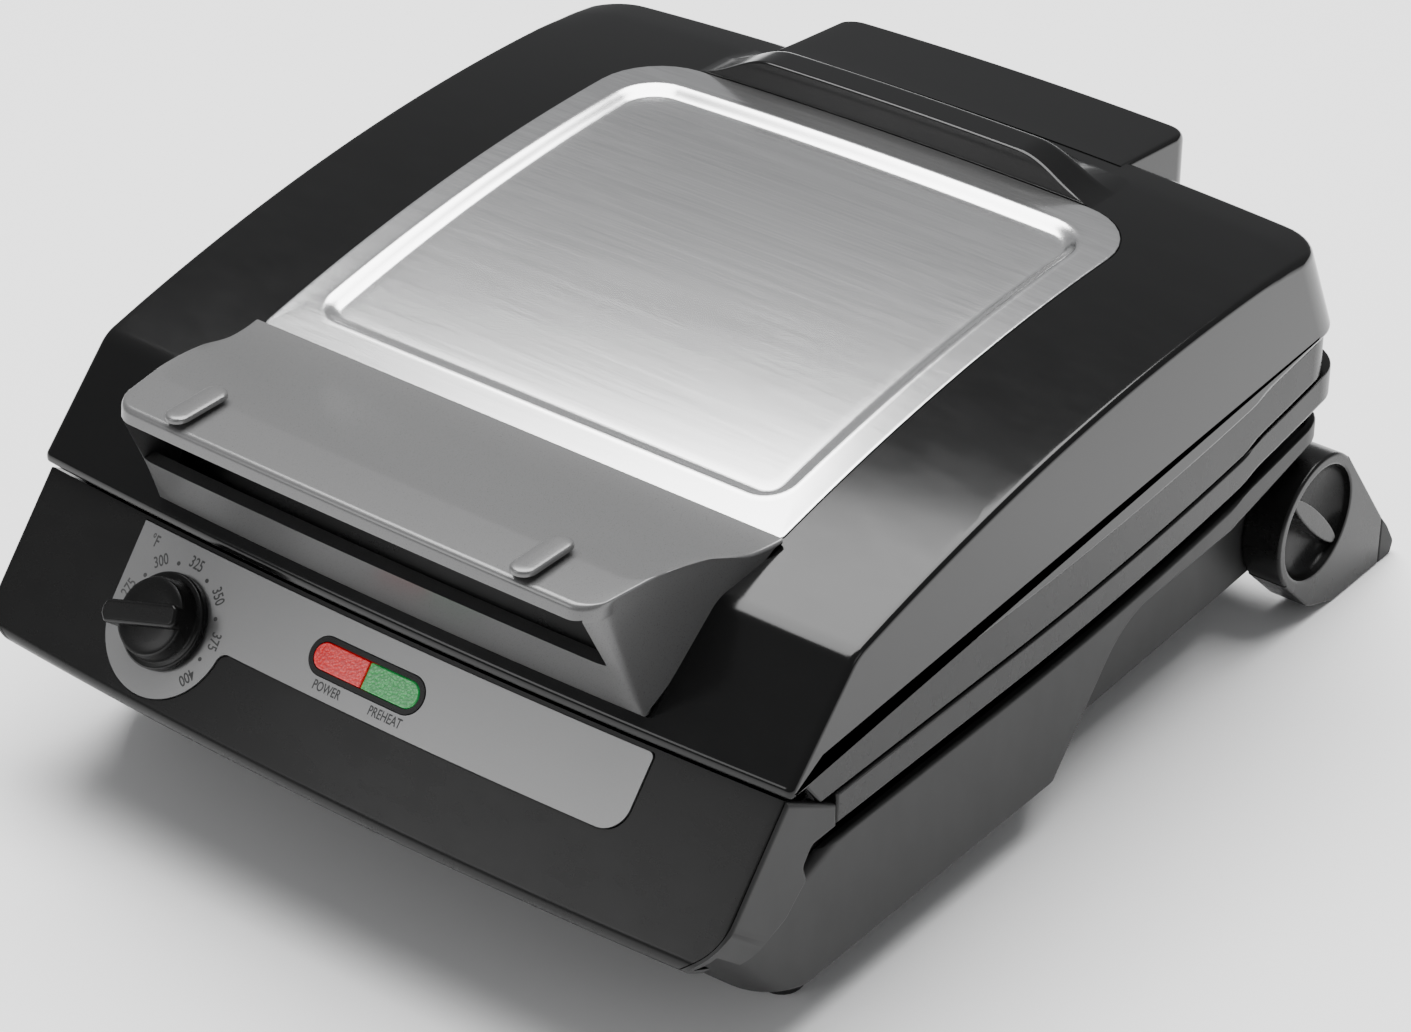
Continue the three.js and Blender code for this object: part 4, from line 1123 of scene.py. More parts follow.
class Handle:
    """The silver handle, the black lining in its hollow (partly the part's own black, partly painted shade
    that darkens the hollow) and the two rest pads on it.
    """

    def __init__(self, sizes: HandleSizes, lid: Lid) -> None:
        """Keeps the sizes and the lid that the handle sits on."""
        self.sizes = sizes
        self.lid = lid

    def share(self, y: np.ndarray) -> np.ndarray:
        """How the handle narrows from its foot to its lip, as a share of the full width."""
        s = self.sizes
        return 1 + s.taper * (y - s.taper_from) / s.half_width

    def top_line(self) -> np.ndarray:
        """The handle's top from its foot to its lip: a cubic curve and a rounded lip."""
        s = self.sizes
        rear = self.lid.panel.front - GAP - 0.3
        a = np.array([rear, self.lid.top(rear) + s.heel])
        b, c, d = np.array([-128, 149.0]), np.array([-140, 157.5]), np.array([-166, 159.2])
        t = np.linspace(0, 1, 32)[:, None]
        return (1 - t) ** 3 * a + 3 * (1 - t) ** 2 * t * b + 3 * (1 - t) * t**2 * c + t**3 * d

    def outline(self) -> np.ndarray:
        """The side outline: a lip in front, a waist behind, a foot on the lid's slope."""
        s, lid = self.sizes, self.lid
        rear = lid.panel.front - GAP - 0.3
        sy = lid.sizes.shoulder[0]
        return outline(
            [
                *self.top_line(),
                (s.lip[0] + 0.4, s.lip[1] + 2.2, 2.4),
                (s.lip[0] - 0.4, s.lip[1] - 3.0, 1.2),
                (s.tip[0], s.tip[1], 1.0),
                lid.slope(4, 0.5),
                lid.slope(sy - lid.sizes.front, 0.5),
                *run(sy + 12, rear, 6, lambda y: lid.top(y) + 0.5),
            ],
            15,
        )

    def grip_back(self, d: float) -> np.ndarray:
        """The back of the finger hollow, from its foot round to under the lip, drawn in by d."""
        y, z = self.sizes.tip
        return outline(
            [
                (y + 2 + d * 0.3, z + 8 + d),
                (y + 6.2 - d * 0.2, z + 8 + d),
                (-137.5 - d * 1.1, 143.5, 5),
                (-140 - d * 0.9, 151 - d, 4),
                (-152 - d * 0.3, 154.8 - d, 4),
                (-166, 157 - d),
            ],
            15,
        )

    def grip(self) -> np.ndarray:
        """The hollow that the fingers reach into, from the front."""
        s = self.sizes
        return chain(
            [(-190, s.band), (s.tip[0] - 9 + s.wall, s.band)], self.grip_back(0), [(-182, 155.2), (-190, 152)]
        )

    def build(self, bench: Bench) -> None:
        """Makes the handle, the black lining of its hollow (partly painted shade) and its pads."""
        s = self.sizes
        body = section(
            self.outline(), s.half_width, nose=s.corner, nose_from=132, share=self.share, soft=1.2, steps=96
        )
        hollow = section(self.grip(), s.half_width - s.end_wall, share=self.share)
        bench.finish("handle_moulding", body - hollow, Finish.SILVER_PLASTIC, "lid", ["lid_handle"], angle=38)
        # The satin black lining at the back of the finger hollow is partly the part's own black and partly
        # painted shade that darkens the hollow.
        liner = chain(self.grip_back(GAP + 0.1), self.grip_back(s.wall)[::-1])
        insert_and_shade = section(liner, s.half_width - s.end_wall - GAP, share=self.share)
        bench.finish("handle_insert_and_shade", insert_and_shade, Finish.SATIN_BLACK, "lid", ["handle_liner"])
        for side, label in ((1, "right"), (-1, "left")):
            node = f"handle_rest_pad_{label}"
            bench.finish(f"rest_pad_{label}", self.pad(side), Finish.SILVER_PLASTIC, "lid", [node])

    def pad(self, side: int) -> Solid:
        """A rest pad: a long rounded button lying front to back on the handle."""
        s = self.sizes
        r, half = s.pad_width / 2, s.pad_length / 2
        plan = outline([(-r, -half, r), (r, -half, r), (r, half, r), (-r, half, r)], 10)
        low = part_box("handle_rest_pad_right")[0][2] / MM
        top = self.top_line()

        def surface(y: np.ndarray) -> np.ndarray:
            return np.interp(y, top[::-1, 0], top[::-1, 1])

        inset = inward(tidy(plan))
        plan = tidy(plan)
        levels = [(0.0, GAP), (0.0, 1.2), (0.25, 1.7), (0.7, 2.0)]
        levels += [(1.5, s.pad_height), (3.4, s.pad_height + 0.15)]
        rings = []
        for draw, height in levels:
            flat = plan + inset * draw + np.array([side * s.pad_x, s.pad_y])
            z = np.maximum(surface(flat[:, 1]), low - GAP) + height
            rings.append(FORM.bend(np.column_stack([flat, z])))
        return Solid.loft(np.stack(rings))


# ---------------------------------------------------------------- the housings between lid and base


@dataclass(frozen=True)
class HousingSizes:
    """The bands round the two cooking plates."""

    half_width: float = 157.0
    front: float = -148.0
    back: float = 156.0
    corner: float = 18.0
    tray_half_width: float = 134.0
    tray_front: float = -131.0
    tray_back: float = 145.0
    roof: float = 122.0
    share: float = 0.88
    rim_front: float = -139.4
    rim_back: float = 163.0
    rim_tray_back: float = 142.5
    floor: float = 70.4
    nose_half_width: float = 149.4
    nose: float = -158.5
    nose_foot: float = 63.0
    bay: float = 93.5
    bay_front: float = 151.0


class Housings:
    """The dark band under the lid and the dark rim that carries the lower plate."""

    def __init__(self, sizes: HousingSizes) -> None:
        """Keeps the sizes."""
        self.sizes = sizes

    def bay(self, grow: float) -> Solid:
        """The bay in the base's back where the hinge housing turns."""
        s = self.sizes
        return box(-s.bay - grow, s.bay + grow, s.bay_front - grow, 200, 0, 130)

    def upper(self) -> Solid:
        """The band under the lid with the tray inside it."""
        s = self.sizes

        def foot(y: np.ndarray) -> np.ndarray:
            return FORM.seam + FORM.slit + FORM.rise(y)

        band = outline(
            [
                (s.front, float(foot(s.front)), 1.2),
                *run(s.front + 4, s.back - 3, 40, foot),
                (s.back, float(foot(s.back)), 1.2),
                (s.back, FORM.bead + FORM.rise(s.back) * s.share - GAP),
                *run(s.back - 12, -150, 40, lambda y: FORM.bead + FORM.rise(y) * s.share - GAP),
                (-157 + GAP, 104.6 - GAP),
            ]
        )
        channel = chain(
            run(s.front + WALL + 1, s.back - WALL, 20, lambda y: foot(y) + WALL),
            [(s.back - WALL, 140), (s.front, 140), (-157 + WALL + 1, 105.6)],
        )
        tray = chain(
            run(s.tray_front, s.tray_back, 20, lambda y: foot(y) + 0.5),
            [(s.tray_back, s.roof), (s.tray_front, s.roof)],
        )
        inside = box(
            -s.tray_half_width + WALL,
            s.tray_half_width - WALL,
            s.tray_front + WALL - 4,
            s.tray_back - WALL,
            60,
            s.roof - WALL,
        )
        outer = section(band, s.half_width, s.corner, soft=1.0)
        hollow = section(channel, s.half_width - WALL, s.corner - WALL)
        rest = outer - hollow + section(tray, s.tray_half_width, 6)
        return rest - inside - box(-77, 77, s.tray_back + 3, 190, 80, 140)

    def lower(self) -> Solid:
        """The tray of the lower plate with the rim that shows round the sides."""
        s = self.sizes

        def top(y: np.ndarray) -> np.ndarray:
            return FORM.seam - FORM.slit + FORM.rise(y)

        def foot(y: np.ndarray) -> np.ndarray:
            return FORM.rim_foot + FORM.rise(y)

        band = outline(
            [
                (s.rim_front, float(foot(s.rim_front))),
                *run(s.rim_front + 5, s.rim_back - 4, 40, foot),
                (s.rim_back, float(foot(s.rim_back)), 1.2),
                (s.rim_back, float(top(s.rim_back)), 1.2),
                *run(s.rim_back - 4, s.rim_front + 5, 40, top),
                (s.rim_front, float(top(s.rim_front)), 1.0),
            ]
        )
        level = float(top(0))
        nose = outline(
            [
                (s.nose, s.nose_foot),
                (s.rim_front + 2, s.nose_foot),
                (s.rim_front + 2, level - 0.6),
                (s.nose, level - 5, 3),
            ]
        )
        channel = chain(
            run(s.rim_front + WALL, s.rim_back - WALL, 20, lambda y: top(y) - WALL),
            [(s.rim_back - WALL, 50), (s.rim_front + WALL, 50)],
        )
        tray = chain(
            [(s.tray_front, s.floor), (s.rim_tray_back, s.floor)],
            run(s.rim_tray_back, s.tray_front, 20, lambda y: top(y) - 0.5),
        )
        inside = outline(
            [
                (s.tray_front + WALL, s.floor + WALL),
                (s.rim_tray_back - WALL, s.floor + WALL),
                (s.rim_tray_back - WALL, 140),
                (s.tray_front + WALL, 140),
            ]
        )
        outer = section(band, s.half_width, s.corner, soft=1.2)
        rest = outer - section(channel, s.half_width - WALL, s.corner - WALL)
        rest = rest + section(nose, s.nose_half_width, soft=1.2) + section(tray, s.tray_half_width, 4)
        return rest - section(inside, s.tray_half_width - WALL, 3) - self.bay(0)

    def build(self, bench: Bench) -> None:
        """Makes both housings."""
        bench.finish("upper_surround", self.upper(), Finish.SATIN_BLACK, "lid", ["upper_housing"])
        bench.finish("lower_surround", self.lower(), Finish.SATIN_BLACK, "base", ["lower_housing"])


# ---------------------------------------------------------------- the base


@dataclass(frozen=True)
class BaseSizes:
    """The charcoal shell of the base with the arch over the stand."""

    half_width: float = 153.0
    foot: float = 20.0
    front: float = -161.5
    brow: tuple = (-194.8, 58.4)
    back: float = 161.0
    corner: float = 16.0
    nose: float = 18.0
    narrow_half_width: float = 138.3
    narrow_back: float = 165.0
    narrow_foot: float = 26.0
    arch_start: float = -10.0
    arch_corner: tuple = (30.0, 65.0)
    arch_radius: float = 35.0
    arch_middle: tuple = (102.0, 67.0)
    arch_end: tuple = (161.0, 78.0)
    ledge: float = 2.4
    slant: float = 0.889
    gland_x: float = -112.0
    gland_z: float = 52.0
    gland_radius: float = 6.3


class Base:
    """The shell of the base."""

    def __init__(self, sizes: BaseSizes, housings: Housings) -> None:
        """Keeps the sizes."""
        self.sizes = sizes
        self.housings = housings

    def wide(self, inset: float) -> np.ndarray:
        """The side outline out to the full width, with the arch over the stand."""
        s = self.sizes
        opened = 10.0 if inset > 0 else 0.0
        ledge = s.ledge if inset > 0 else 0.0
        fine = 1.6 if inset == 0 else 0.0

        def top(y: np.ndarray) -> np.ndarray:
            return FORM.panel_top + FORM.rise(y) + opened

        return outline(
            [
                (s.front + inset * 1.3 + opened * 0.87, s.foot - opened, 5.0 if inset == 0 else 0),
                (s.arch_start - (inset + opened) * s.slant - inset * 0.5, s.foot - opened, fine * 2),
                (s.arch_corner[0] - inset * 0.6, s.arch_corner[1] + ledge, s.arch_radius),
                (s.arch_middle[0], s.arch_middle[1] + ledge, 60),
                (s.arch_end[0] - inset, s.arch_end[1] + ledge, fine),
                (s.back - inset, float(top(s.back)), fine),
                *run(152, -138, 40, top),
                (-150, s_top(opened), 0),
                (-164, 64 + opened),
                (s.brow[0] + inset * 1.3 - opened * 0.87, s.brow[1] + opened, fine),
            ]
        )

    def narrow(self, inset: float) -> np.ndarray:
        """The narrower body between the stand's legs, up to the ledge over the arch."""
        s = self.sizes
        opened, lead = (12.0, 18.0) if inset > 0 else (0.0, 0.0)
        ledge = 14.0 if inset > 0 else s.ledge / 2
        ay, az = s.arch_corner
        return np.array(
            [
                (s.arch_start - WALL - lead, s.foot - opened),
                (s.narrow_back - inset, s.narrow_foot - opened),
                (s.narrow_back - inset, s.arch_end[1] + ledge),
                (s.arch_middle[0], s.arch_middle[1] + ledge),
                (ay + 20, az + ledge),
                (ay - 12 - lead, az - 14 + ledge),
            ]
        )

    def build(self, bench: Bench) -> None:
        """Makes the shell."""
        s = self.sizes
        outer = section(self.wide(0), s.half_width, s.corner, nose=s.nose, soft=1.6)
        outer = outer + section(self.narrow(0), s.narrow_half_width, 3)
        outer = outer - self.housings.bay(0)
        hollow = section(self.wide(WALL), s.half_width - WALL, s.corner - WALL, nose=s.nose - WALL)
        hollow = hollow + section(self.narrow(WALL), s.narrow_half_width - WALL)
        hollow = hollow - self.housings.bay(WALL)
        shell = outer - hollow
        shell = shell - rod((s.gland_x, 150, s.gland_z), (s.gland_x, 190, s.gland_z), s.gland_radius)
        bench.finish("base_moulding", shell, Finish.BASE_GREY, "base", ["base_shell"], angle=28)


def s_top(opened: float) -> float:
    """The height of the shell's top just behind the front panel."""
    return FORM.panel_top - 0.5 + opened


# ---------------------------------------------------------------- the front panel


@dataclass(frozen=True)
class FasciaSizes:
    """The leaning front panel with its inlay, lights and dial."""

    half_width: float = 157.8
    top: float = -165.5
    level: float = 103.5
    lean: float = 40.4
    length: float = 62.0
    corner: float = 22.0
    cheek: tuple = (-140.0, 88.0)
    cheek_foot: tuple = (-140.0, 79.6)
    wall: float = 3.0
    frame: float = 1.1
    inlay_left: float = -109.5
    inlay_right: float = 109.2
    inlay_top: float = 1.6
    inlay_foot: float = 29.1
    inlay_corner: float = 9.0
    inlay_thick: float = 1.2
    recess: float = 0.9
    clearance: float = 0.4
    dial_x: float = -82.3
    dial_s: float = 28.5
    ring: float = 25.5
    lens_left: float = -21.7
    lens_right: float = 22.3
    lens_s: float = 15.6
    lens_width: float = 9.0
    bezel: float = 2.0
    proud: float = 1.2
    spindle_hole: float = 4.0


class Fascia:
    """The front panel, its frame, the silver inlay with its print and the two lights."""

    def __init__(self, sizes: FasciaSizes) -> None:
        """Keeps the sizes."""
        self.sizes = sizes
        self.lean = math.radians(sizes.lean)

    def on_slope(self, x: np.ndarray, s: np.ndarray, n: np.ndarray) -> np.ndarray:
        """A point of the panel before bending: x across, s down the slope, n out of it."""
        z = self.sizes
        sin, cos = math.sin(self.lean), math.cos(self.lean)
        return np.stack([x + 0 * s, z.top - s * sin - n * cos, z.level - s * cos + n * sin], -1)

    def at(self, s: float, n: float) -> tuple:
        """The (y, z) of a point of the panel."""
        point = self.on_slope(np.array(0.0), np.array(s), np.array(n))
        return (float(point[1]), float(point[2]))

    def over(self, low: float, high: float) -> Solid:
        """What lies between two heights over the bowed face."""
        points = np.array([self.at(-12, low), self.at(80, low), self.at(80, high), self.at(-12, high)])
        return section(points, self.sizes.half_width + 5)

    def slope_prism(self, points: np.ndarray, low: float = -20.0, high: float = 20.0) -> Solid:
        """An outline (x, s) carried square to the panel."""
        return Solid.extruded(
            divided(points), np.array([low, high]), lambda x, s, n: FORM.bend(self.on_slope(x, s, n))
        )

    def panel_outline(self, inset: float) -> np.ndarray:
        """The panel's outline (x, s), drawn in all round."""
        z = self.sizes
        w, foot = z.half_width - inset, z.length + 0.5 - inset
        return outline([(-w, -30), (w, -30), (w, foot, z.corner - inset), (-w, foot, z.corner - inset)])

    def lens_outline(self, grow: float) -> np.ndarray:
        """The lenses' outline, grown all round."""
        z = self.sizes
        r = z.lens_width / 2 + grow
        left, right, s = z.lens_left - grow, z.lens_right + grow, z.lens_s
        corners = [(left, s - r), (right, s - r), (right, s + r), (left, s + r)]
        return outline([(*corner, r * 0.999) for corner in corners])

    def inlay_outline(self, grow: float) -> np.ndarray:
        """The inlay: a strip along the top with a round lobe about the dial."""
        z = self.sizes
        right, foot = z.inlay_right + grow, z.inlay_foot + grow
        strip = [(right, z.inlay_top - grow, 2.0), (right, foot, z.inlay_corner)]
        strip += [(z.dial_x + 60, foot), (z.dial_x + 60, z.inlay_top - grow)]
        first = outline(strip)[:-2]
        ring, neck = z.ring + grow, 4.0
        below = foot + neck - z.dial_s
        reach = math.sqrt((ring + neck) ** 2 - below**2)
        start = math.atan2(below, reach)
        a = -math.pi / 2 - (math.pi / 2 - start) * np.linspace(0, 1, 9)
        inner = np.stack([z.dial_x + reach + neck * np.cos(a), z.dial_s + below + neck * np.sin(a)], 1)
        b = start + (math.pi - start) * np.linspace(0, 1, 60)[1:]
        lobe = np.stack([z.dial_x + ring * np.cos(b), z.dial_s + ring * np.sin(b)], 1)
        return chain(first, inner, lobe, [(z.inlay_left + 1.2 - grow, z.inlay_top - grow)])

    def hood(self) -> Solid:
        """The hood over the base's front: its face, its lower lip and its two cheeks."""
        z = self.sizes
        edge = self.at(z.length, 0)
        lip = self.at(z.length - 4, -z.wall)
        outer = outline(
            [
                (z.top, z.level),
                (*edge, 4.5),
                (-188, 51.5, 6),
                (-165.5, 58.5, 8),
                (-154.5, 68, 2),
                (-156.5, 74, 3),
                (-152.5, 79.4, 3),
                z.cheek_foot,
                z.cheek,
            ]
        )
        inner = [self.at(-12, -z.wall), lip, (-196.2, lip[1] - 0.7), (-196.2, 40), (-120, 40), (-120, 130)]
        body = section(outer, z.half_width, soft=2.0) - section(np.array(inner), z.half_width - z.wall)
        return body & self.slope_prism(self.panel_outline(0), -60, 30)

    def axes(self) -> tuple:
        """The dial's centre and its axes: across, up the slope, out of the panel."""
        z = self.sizes

        def bent(x: float, s: float) -> np.ndarray:
            return FORM.bend(self.on_slope(np.array(x), np.array(s), np.array(0.0)))

        origin = bent(z.dial_x, z.dial_s)
        across = bent(z.dial_x + 1, z.dial_s) - origin
        down = bent(z.dial_x, z.dial_s + 1) - origin
        out = np.cross(down, across)
        out /= np.linalg.norm(out)
        across /= np.linalg.norm(across)
        return origin, across, np.cross(out, across), out

    def dial_rod(self, radius: float, low: float, high: float) -> Solid:
        """A rod along the dial's axis."""
        origin, _, _, out = self.axes()
        return rod(origin + out * low, origin + out * high, radius)

    def mark(
        self, name: str, words: str, height: float, x: float, s: float, turn: float, bench: Bench
    ) -> None:
        """Prints a few letters on the inlay.

        Args:
            name: the piece's name.
            words: the letters.
            height: their height.
            x: the middle of the letters across.
            s: the middle of the letters down the slope.
            turn: how far they are turned clockwise, in degrees.
            bench: where the piece is finished.
        """
        curve = bpy.data.curves.new(name, "FONT")
        curve.body = words
        curve.size = height / 0.7
        curve.align_x = "CENTER"
        curve.extrude = 0.02
        curve.offset = height * 0.02
        curve.resolution_u = 3
        maker = bpy.data.objects.new(name, curve)
        bpy.context.scene.collection.objects.link(maker)
        bpy.context.view_layer.update()
        mesh = bpy.data.meshes.new_from_object(maker.evaluated_get(bpy.context.evaluated_depsgraph_get()))
        bpy.data.objects.remove(maker)
        flat = np.empty(len(mesh.vertices) * 3)
        mesh.vertices.foreach_get("co", flat)
        flat = flat.reshape(-1, 3)
        z = self.sizes
        a, b = flat[:, 0] * 0.74, flat[:, 1] - height / 2
        c, d = math.cos(math.radians(turn)), math.sin(math.radians(turn))
        face = z.inlay_thick - z.recess + GAP
        points = FORM.bend(self.on_slope(x + a * c + b * d, s - (b * c - a * d), face + 0.03 + flat[:, 2]))
        mesh.vertices.foreach_set("co", points.reshape(-1))
        bench.finish(name, Solid(mesh), Finish.SILVER_INLAY, "base", ink=bench.wardrobe.print_ink)

    def print_dial(self, bench: Bench) -> None:
        """Prints the ring of dots and numbers, the unit and the names of the lights."""
        z = self.sizes
        marks = ((188.9, ""), (168.3, "275"), (147.7, ""), (127.1, "300"), (106.5, ""), (85.9, "325"))
        marks += ((65.3, ""), (44.7, "350"), (24.1, ""), (3.5, "375"), (-17.1, ""), (-37.7, "400"))
        face = z.inlay_thick - z.recess + GAP
        for angle, words in marks:
            a = math.radians(angle)
            reach = 21.6 if words else 19.75
            x, s = z.dial_x + reach * math.cos(a), z.dial_s - reach * math.sin(a)
            if words:
                self.mark(f"dial_number_{words}", words, 3.9, x, s, 90 - angle, bench)
            else:
                heights = (face - 0.02, face + 0.06)
                ends = [FORM.bend(self.on_slope(np.array(x), np.array(s), np.array(n))) for n in heights]
                dot, ink = f"dial_dot_{int(angle + 60)}", bench.wardrobe.print_ink
                bench.finish(dot, rod(*ends, 0.75), Finish.SILVER_INLAY, "base", ink=ink)
        self.mark("dial_unit", "°F", 4.0, -101.0, 6.2, 0, bench)
        self.mark("power_label", "POWER", 3.2, z.lens_left + 10, 25.0, 0, bench)
        self.mark("preheat_label", "PREHEAT", 3.2, z.lens_right - 9, 25.0, 0, bench)

    def build(self, bench: Bench) -> None:
        """Makes the panel, its frame, the inlay and the lights."""
        z = self.sizes
        hood = self.hood()
        pocket = self.slope_prism(self.inlay_outline(z.clearance)) & self.over(-z.recess, 6)
        panel = hood & self.slope_prism(self.panel_outline(z.frame + GAP), -z.wall, 30)
        window = self.slope_prism(self.lens_outline(z.bezel + GAP))
        spindle = self.dial_rod(z.spindle_hole, -30, 30)
        panel = panel - pocket - window - spindle
        bench.finish("front_panel", panel, Finish.SATIN_BLACK, "base", ["front_fascia"])
        frame_ = hood - self.slope_prism(self.panel_outline(z.frame), -z.wall - GAP, 30)
        bench.finish("front_frame", frame_, Finish.BASE_GREY, "base", ["fascia_frame"])
        sheet = self.over(-z.recess + GAP, z.inlay_thick - z.recess + GAP)
        inlay = (self.slope_prism(self.inlay_outline(0)) & sheet) - window - spindle
        bench.finish("inlay_strip", inlay, Finish.SILVER_INLAY, "base", ["control_panel"])
        slot = outline([(-16, z.lens_s - 3), (16, z.lens_s - 3), (16, z.lens_s + 3), (-16, z.lens_s + 3)])
        bezel = self.slope_prism(self.lens_outline(z.bezel)) & self.over(-7, 0.9)
        bezel = bezel - (self.slope_prism(self.lens_outline(GAP)) & self.over(-5, 5)) - self.slope_prism(slot)
        bench.finish("light_bezel", bezel, Finish.SATIN_BLACK, "base", ["indicator_bezel"])
        centre = (z.lens_left + z.lens_right) / 2
        whole = self.slope_prism(self.lens_outline(0)) & self.over(-4.7, z.proud)
        left = whole & box(-60, centre - 0.2, -300, 0, 0, 200)
        right = whole & box(centre + 0.2, 60, -300, 0, 0, 200)
        bench.finish("red_light", left, Finish.RED_LENS, "base", ["power_lens"], edge=0.35)
        bench.finish("green_light", right, Finish.GREEN_LENS, "base", ["preheat_lens"], edge=0.35)
        self.print_dial(bench)


@dataclass(frozen=True)
class KnobSizes:
    """The temperature knob."""

    radius: float = 16.75
    flange: float = 3.2
    height: float = 14.5
    bar: float = 8.0
    start: float = 197.0
    shaft: float = 3.0
    low: float = 0.8


class Knob:
    """A stepped disc with a pointed bar across it."""

    def __init__(self, sizes: KnobSizes, fascia: Fascia) -> None:
        """Keeps the sizes and the panel that the knob turns on."""
        self.sizes = sizes
        self.fascia = fascia

    def bar(self, points: np.ndarray, low: float, high: float, soft: float) -> Solid:
        """An outline on the knob's own face, turned to where the pointer starts."""
        origin, across, up, out = self.fascia.axes()
        a = math.radians(self.sizes.start)
        ahead = across * math.cos(a) + up * math.sin(a)
        beside = np.cross(out, ahead)

        def place(u: np.ndarray, v: np.ndarray, n: np.ndarray) -> np.ndarray:
            return origin + u[..., None] * ahead + v[..., None] * beside + n[..., None] * out

        return Solid.extruded(points, np.array([low, high]), place, soft)

    def build(self, bench: Bench) -> None:
        """Makes the knob."""
        s = self.sizes
        origin, _, _, out = self.fascia.axes()
        r, low = s.radius, s.low
        turn = np.radians(np.linspace(0, 90, 6))
        edge = [(r - 1 + math.cos(t), low + s.flange - 1 + math.sin(t)) for t in turn]
        profile = [(0, low), (r - 0.5, low), (r, low + 0.5), *edge, (r - 2.0, low + s.flange + 0.15)]
        profile += [(r - 2.5, low + s.flange + 0.9), (r - 3.1, s.height - 5.4), (r - 3.6, s.height - 4.4)]
        profile += [(r - 4.8, s.height - 3.9), (r - 8, s.height - 3.6), (0, s.height - 3.4)]
        disc = turned(profile, origin, out, 96)
        half = s.bar / 2
        handle = [(-r + 3, -half, 2.5), (r - 1, -half, 1.5), (r + 0.6, -1.2, 0.6)]
        handle += [(x, -u, radius) for x, u, radius in reversed(handle)]
        points = outline(handle)
        grip = self.bar(points, low + s.flange - 0.6, s.height, 1.4)
        knob = disc + grip - self.fascia.dial_rod(s.shaft + GAP, -5, s.height - 6)
        bench.finish("knob", knob, Finish.SATIN_BLACK, "dial", ["temperature_knob"], angle=36)


# ---------------------------------------------------------------- the stand


@dataclass(frozen=True)
class StandSizes:
    """The fold-down stand under the back edge."""

    y: float = 155.6
    z: float = 42.0
    radius: float = 26.7
    inner: float = 138.6
    outer: float = 154.7
    dish: float = 22.8
    dish_depth: float = 10.5
    fin: float = 7.0
    tail: tuple = (209.0, 14.5)
    toe: tuple = (215.0, 5.0)
    heel: float = 172.0
    tip: float = 11.0
    pin: float = 5.0


class Stand:
    """Two legs with dished hubs, their rubber tips and the bar between them."""

    def __init__(self, sizes: StandSizes) -> None:
        """Keeps the sizes."""
        self.sizes = sizes

    def leg(self, side: int) -> Solid:
        """A leg: a round hub with a flat-footed tail, dished for the fingers with a fin across.

        The dish is depth * cos(angle)^0.8 at radius * sin(angle); the fin is an ellipse in plan.
        """
        s = self.sizes
        y, z, r = s.y, s.z, s.radius
        angle = np.radians(np.arange(0, 360, 3))
        hub = np.stack([y + r * np.cos(angle), z + r * np.sin(angle)], 1)
        start = s.toe[0] - s.tip
        foot = outline(
            [
                (y - r * 0.76, z - r * 0.66),
                (y - 2, 6.5, 12),
                (s.heel, 0, 10),
                (start, 0),
                (start, s.tail[1] + s.tip * 0.55),
                (y + r * 0.72, z + r * 0.7),
                (y, z),
            ]
        )
        low, high = sorted((side * s.inner, side * s.outer))
        face = side * s.outer
        d = s.dish
        turn = np.linspace(0, math.pi / 2, 14)
        bowl = list(zip((d - 0.4) * np.sin(turn), -0.4 - (s.dish_depth - 0.4) * np.cos(turn) ** 0.8))
        bowl += [(d, -0.15), (d + 0.7, 0.0), (d + 0.7, 1), (0, 1)]
        dish = turned(bowl, (face, y, z), (side, 0, 0), 96)
        body = side_plate(hub, low, high, 1.3) + side_plate(foot, low, high, 0.9) - dish
        turn = np.radians(np.arange(0, 360, 6))
        line = np.stack([(d + 0.8) * np.cos(turn), s.fin * 0.55 * np.sin(turn)], 1)
        slant = math.sqrt(0.5)
        fin = np.stack([y + (line[:, 0] + line[:, 1]) * slant, z + (line[:, 1] - line[:, 0]) * slant], 1)
        a, b = sorted((face - side * (s.dish_depth + 1), face - side * 1.2))
        bore = rod((side * (s.inner - 2), y, z), (side * (s.inner + 4), y, z), s.pin + GAP)
        return body + side_plate(fin, a, b, 0.8) - bore

    def shoe(self, side: int) -> Solid:
        """The rubber tip that closes a leg's tail."""
        s = self.sizes
        start = s.toe[0] - s.tip + GAP
        points = outline(
            [
                (start, 0),
                (s.toe[0] - 2, 0, 2),
                (*s.toe, 3),
                (*s.tail, 3),
                (start, s.tail[1] + (s.tip - GAP) * 0.5),
            ]
        )
        low, high = sorted((side * s.inner, side * s.outer))
        return side_plate(points, low, high, 0.9)

    def build(self, bench: Bench) -> None:
        """Makes the stand."""
        s = self.sizes
        for side, label in ((1, "right"), (-1, "left")):
            leg, tip = f"stand_leg_{label}", f"stand_tip_{label}"
            bench.finish(f"leg_{label}", self.leg(side), Finish.SATIN_BLACK, "stand", [leg])
            bench.finish(f"leg_shoe_{label}", self.shoe(side), Finish.RUBBER, "stand", [tip])
        bar = outline([(196.5, 7, 2), (207.5, 7, 2), (207.5, 18.5, 2), (196.5, 18.5, 2)])
        rail = side_plate(bar, -s.inner + GAP, s.inner - GAP, 0.6)
        bench.finish("stand_bar", rail, Finish.SATIN_BLACK, "stand", ["stand_crossbar"])


# ---------------------------------------------------------------- the hidden pieces


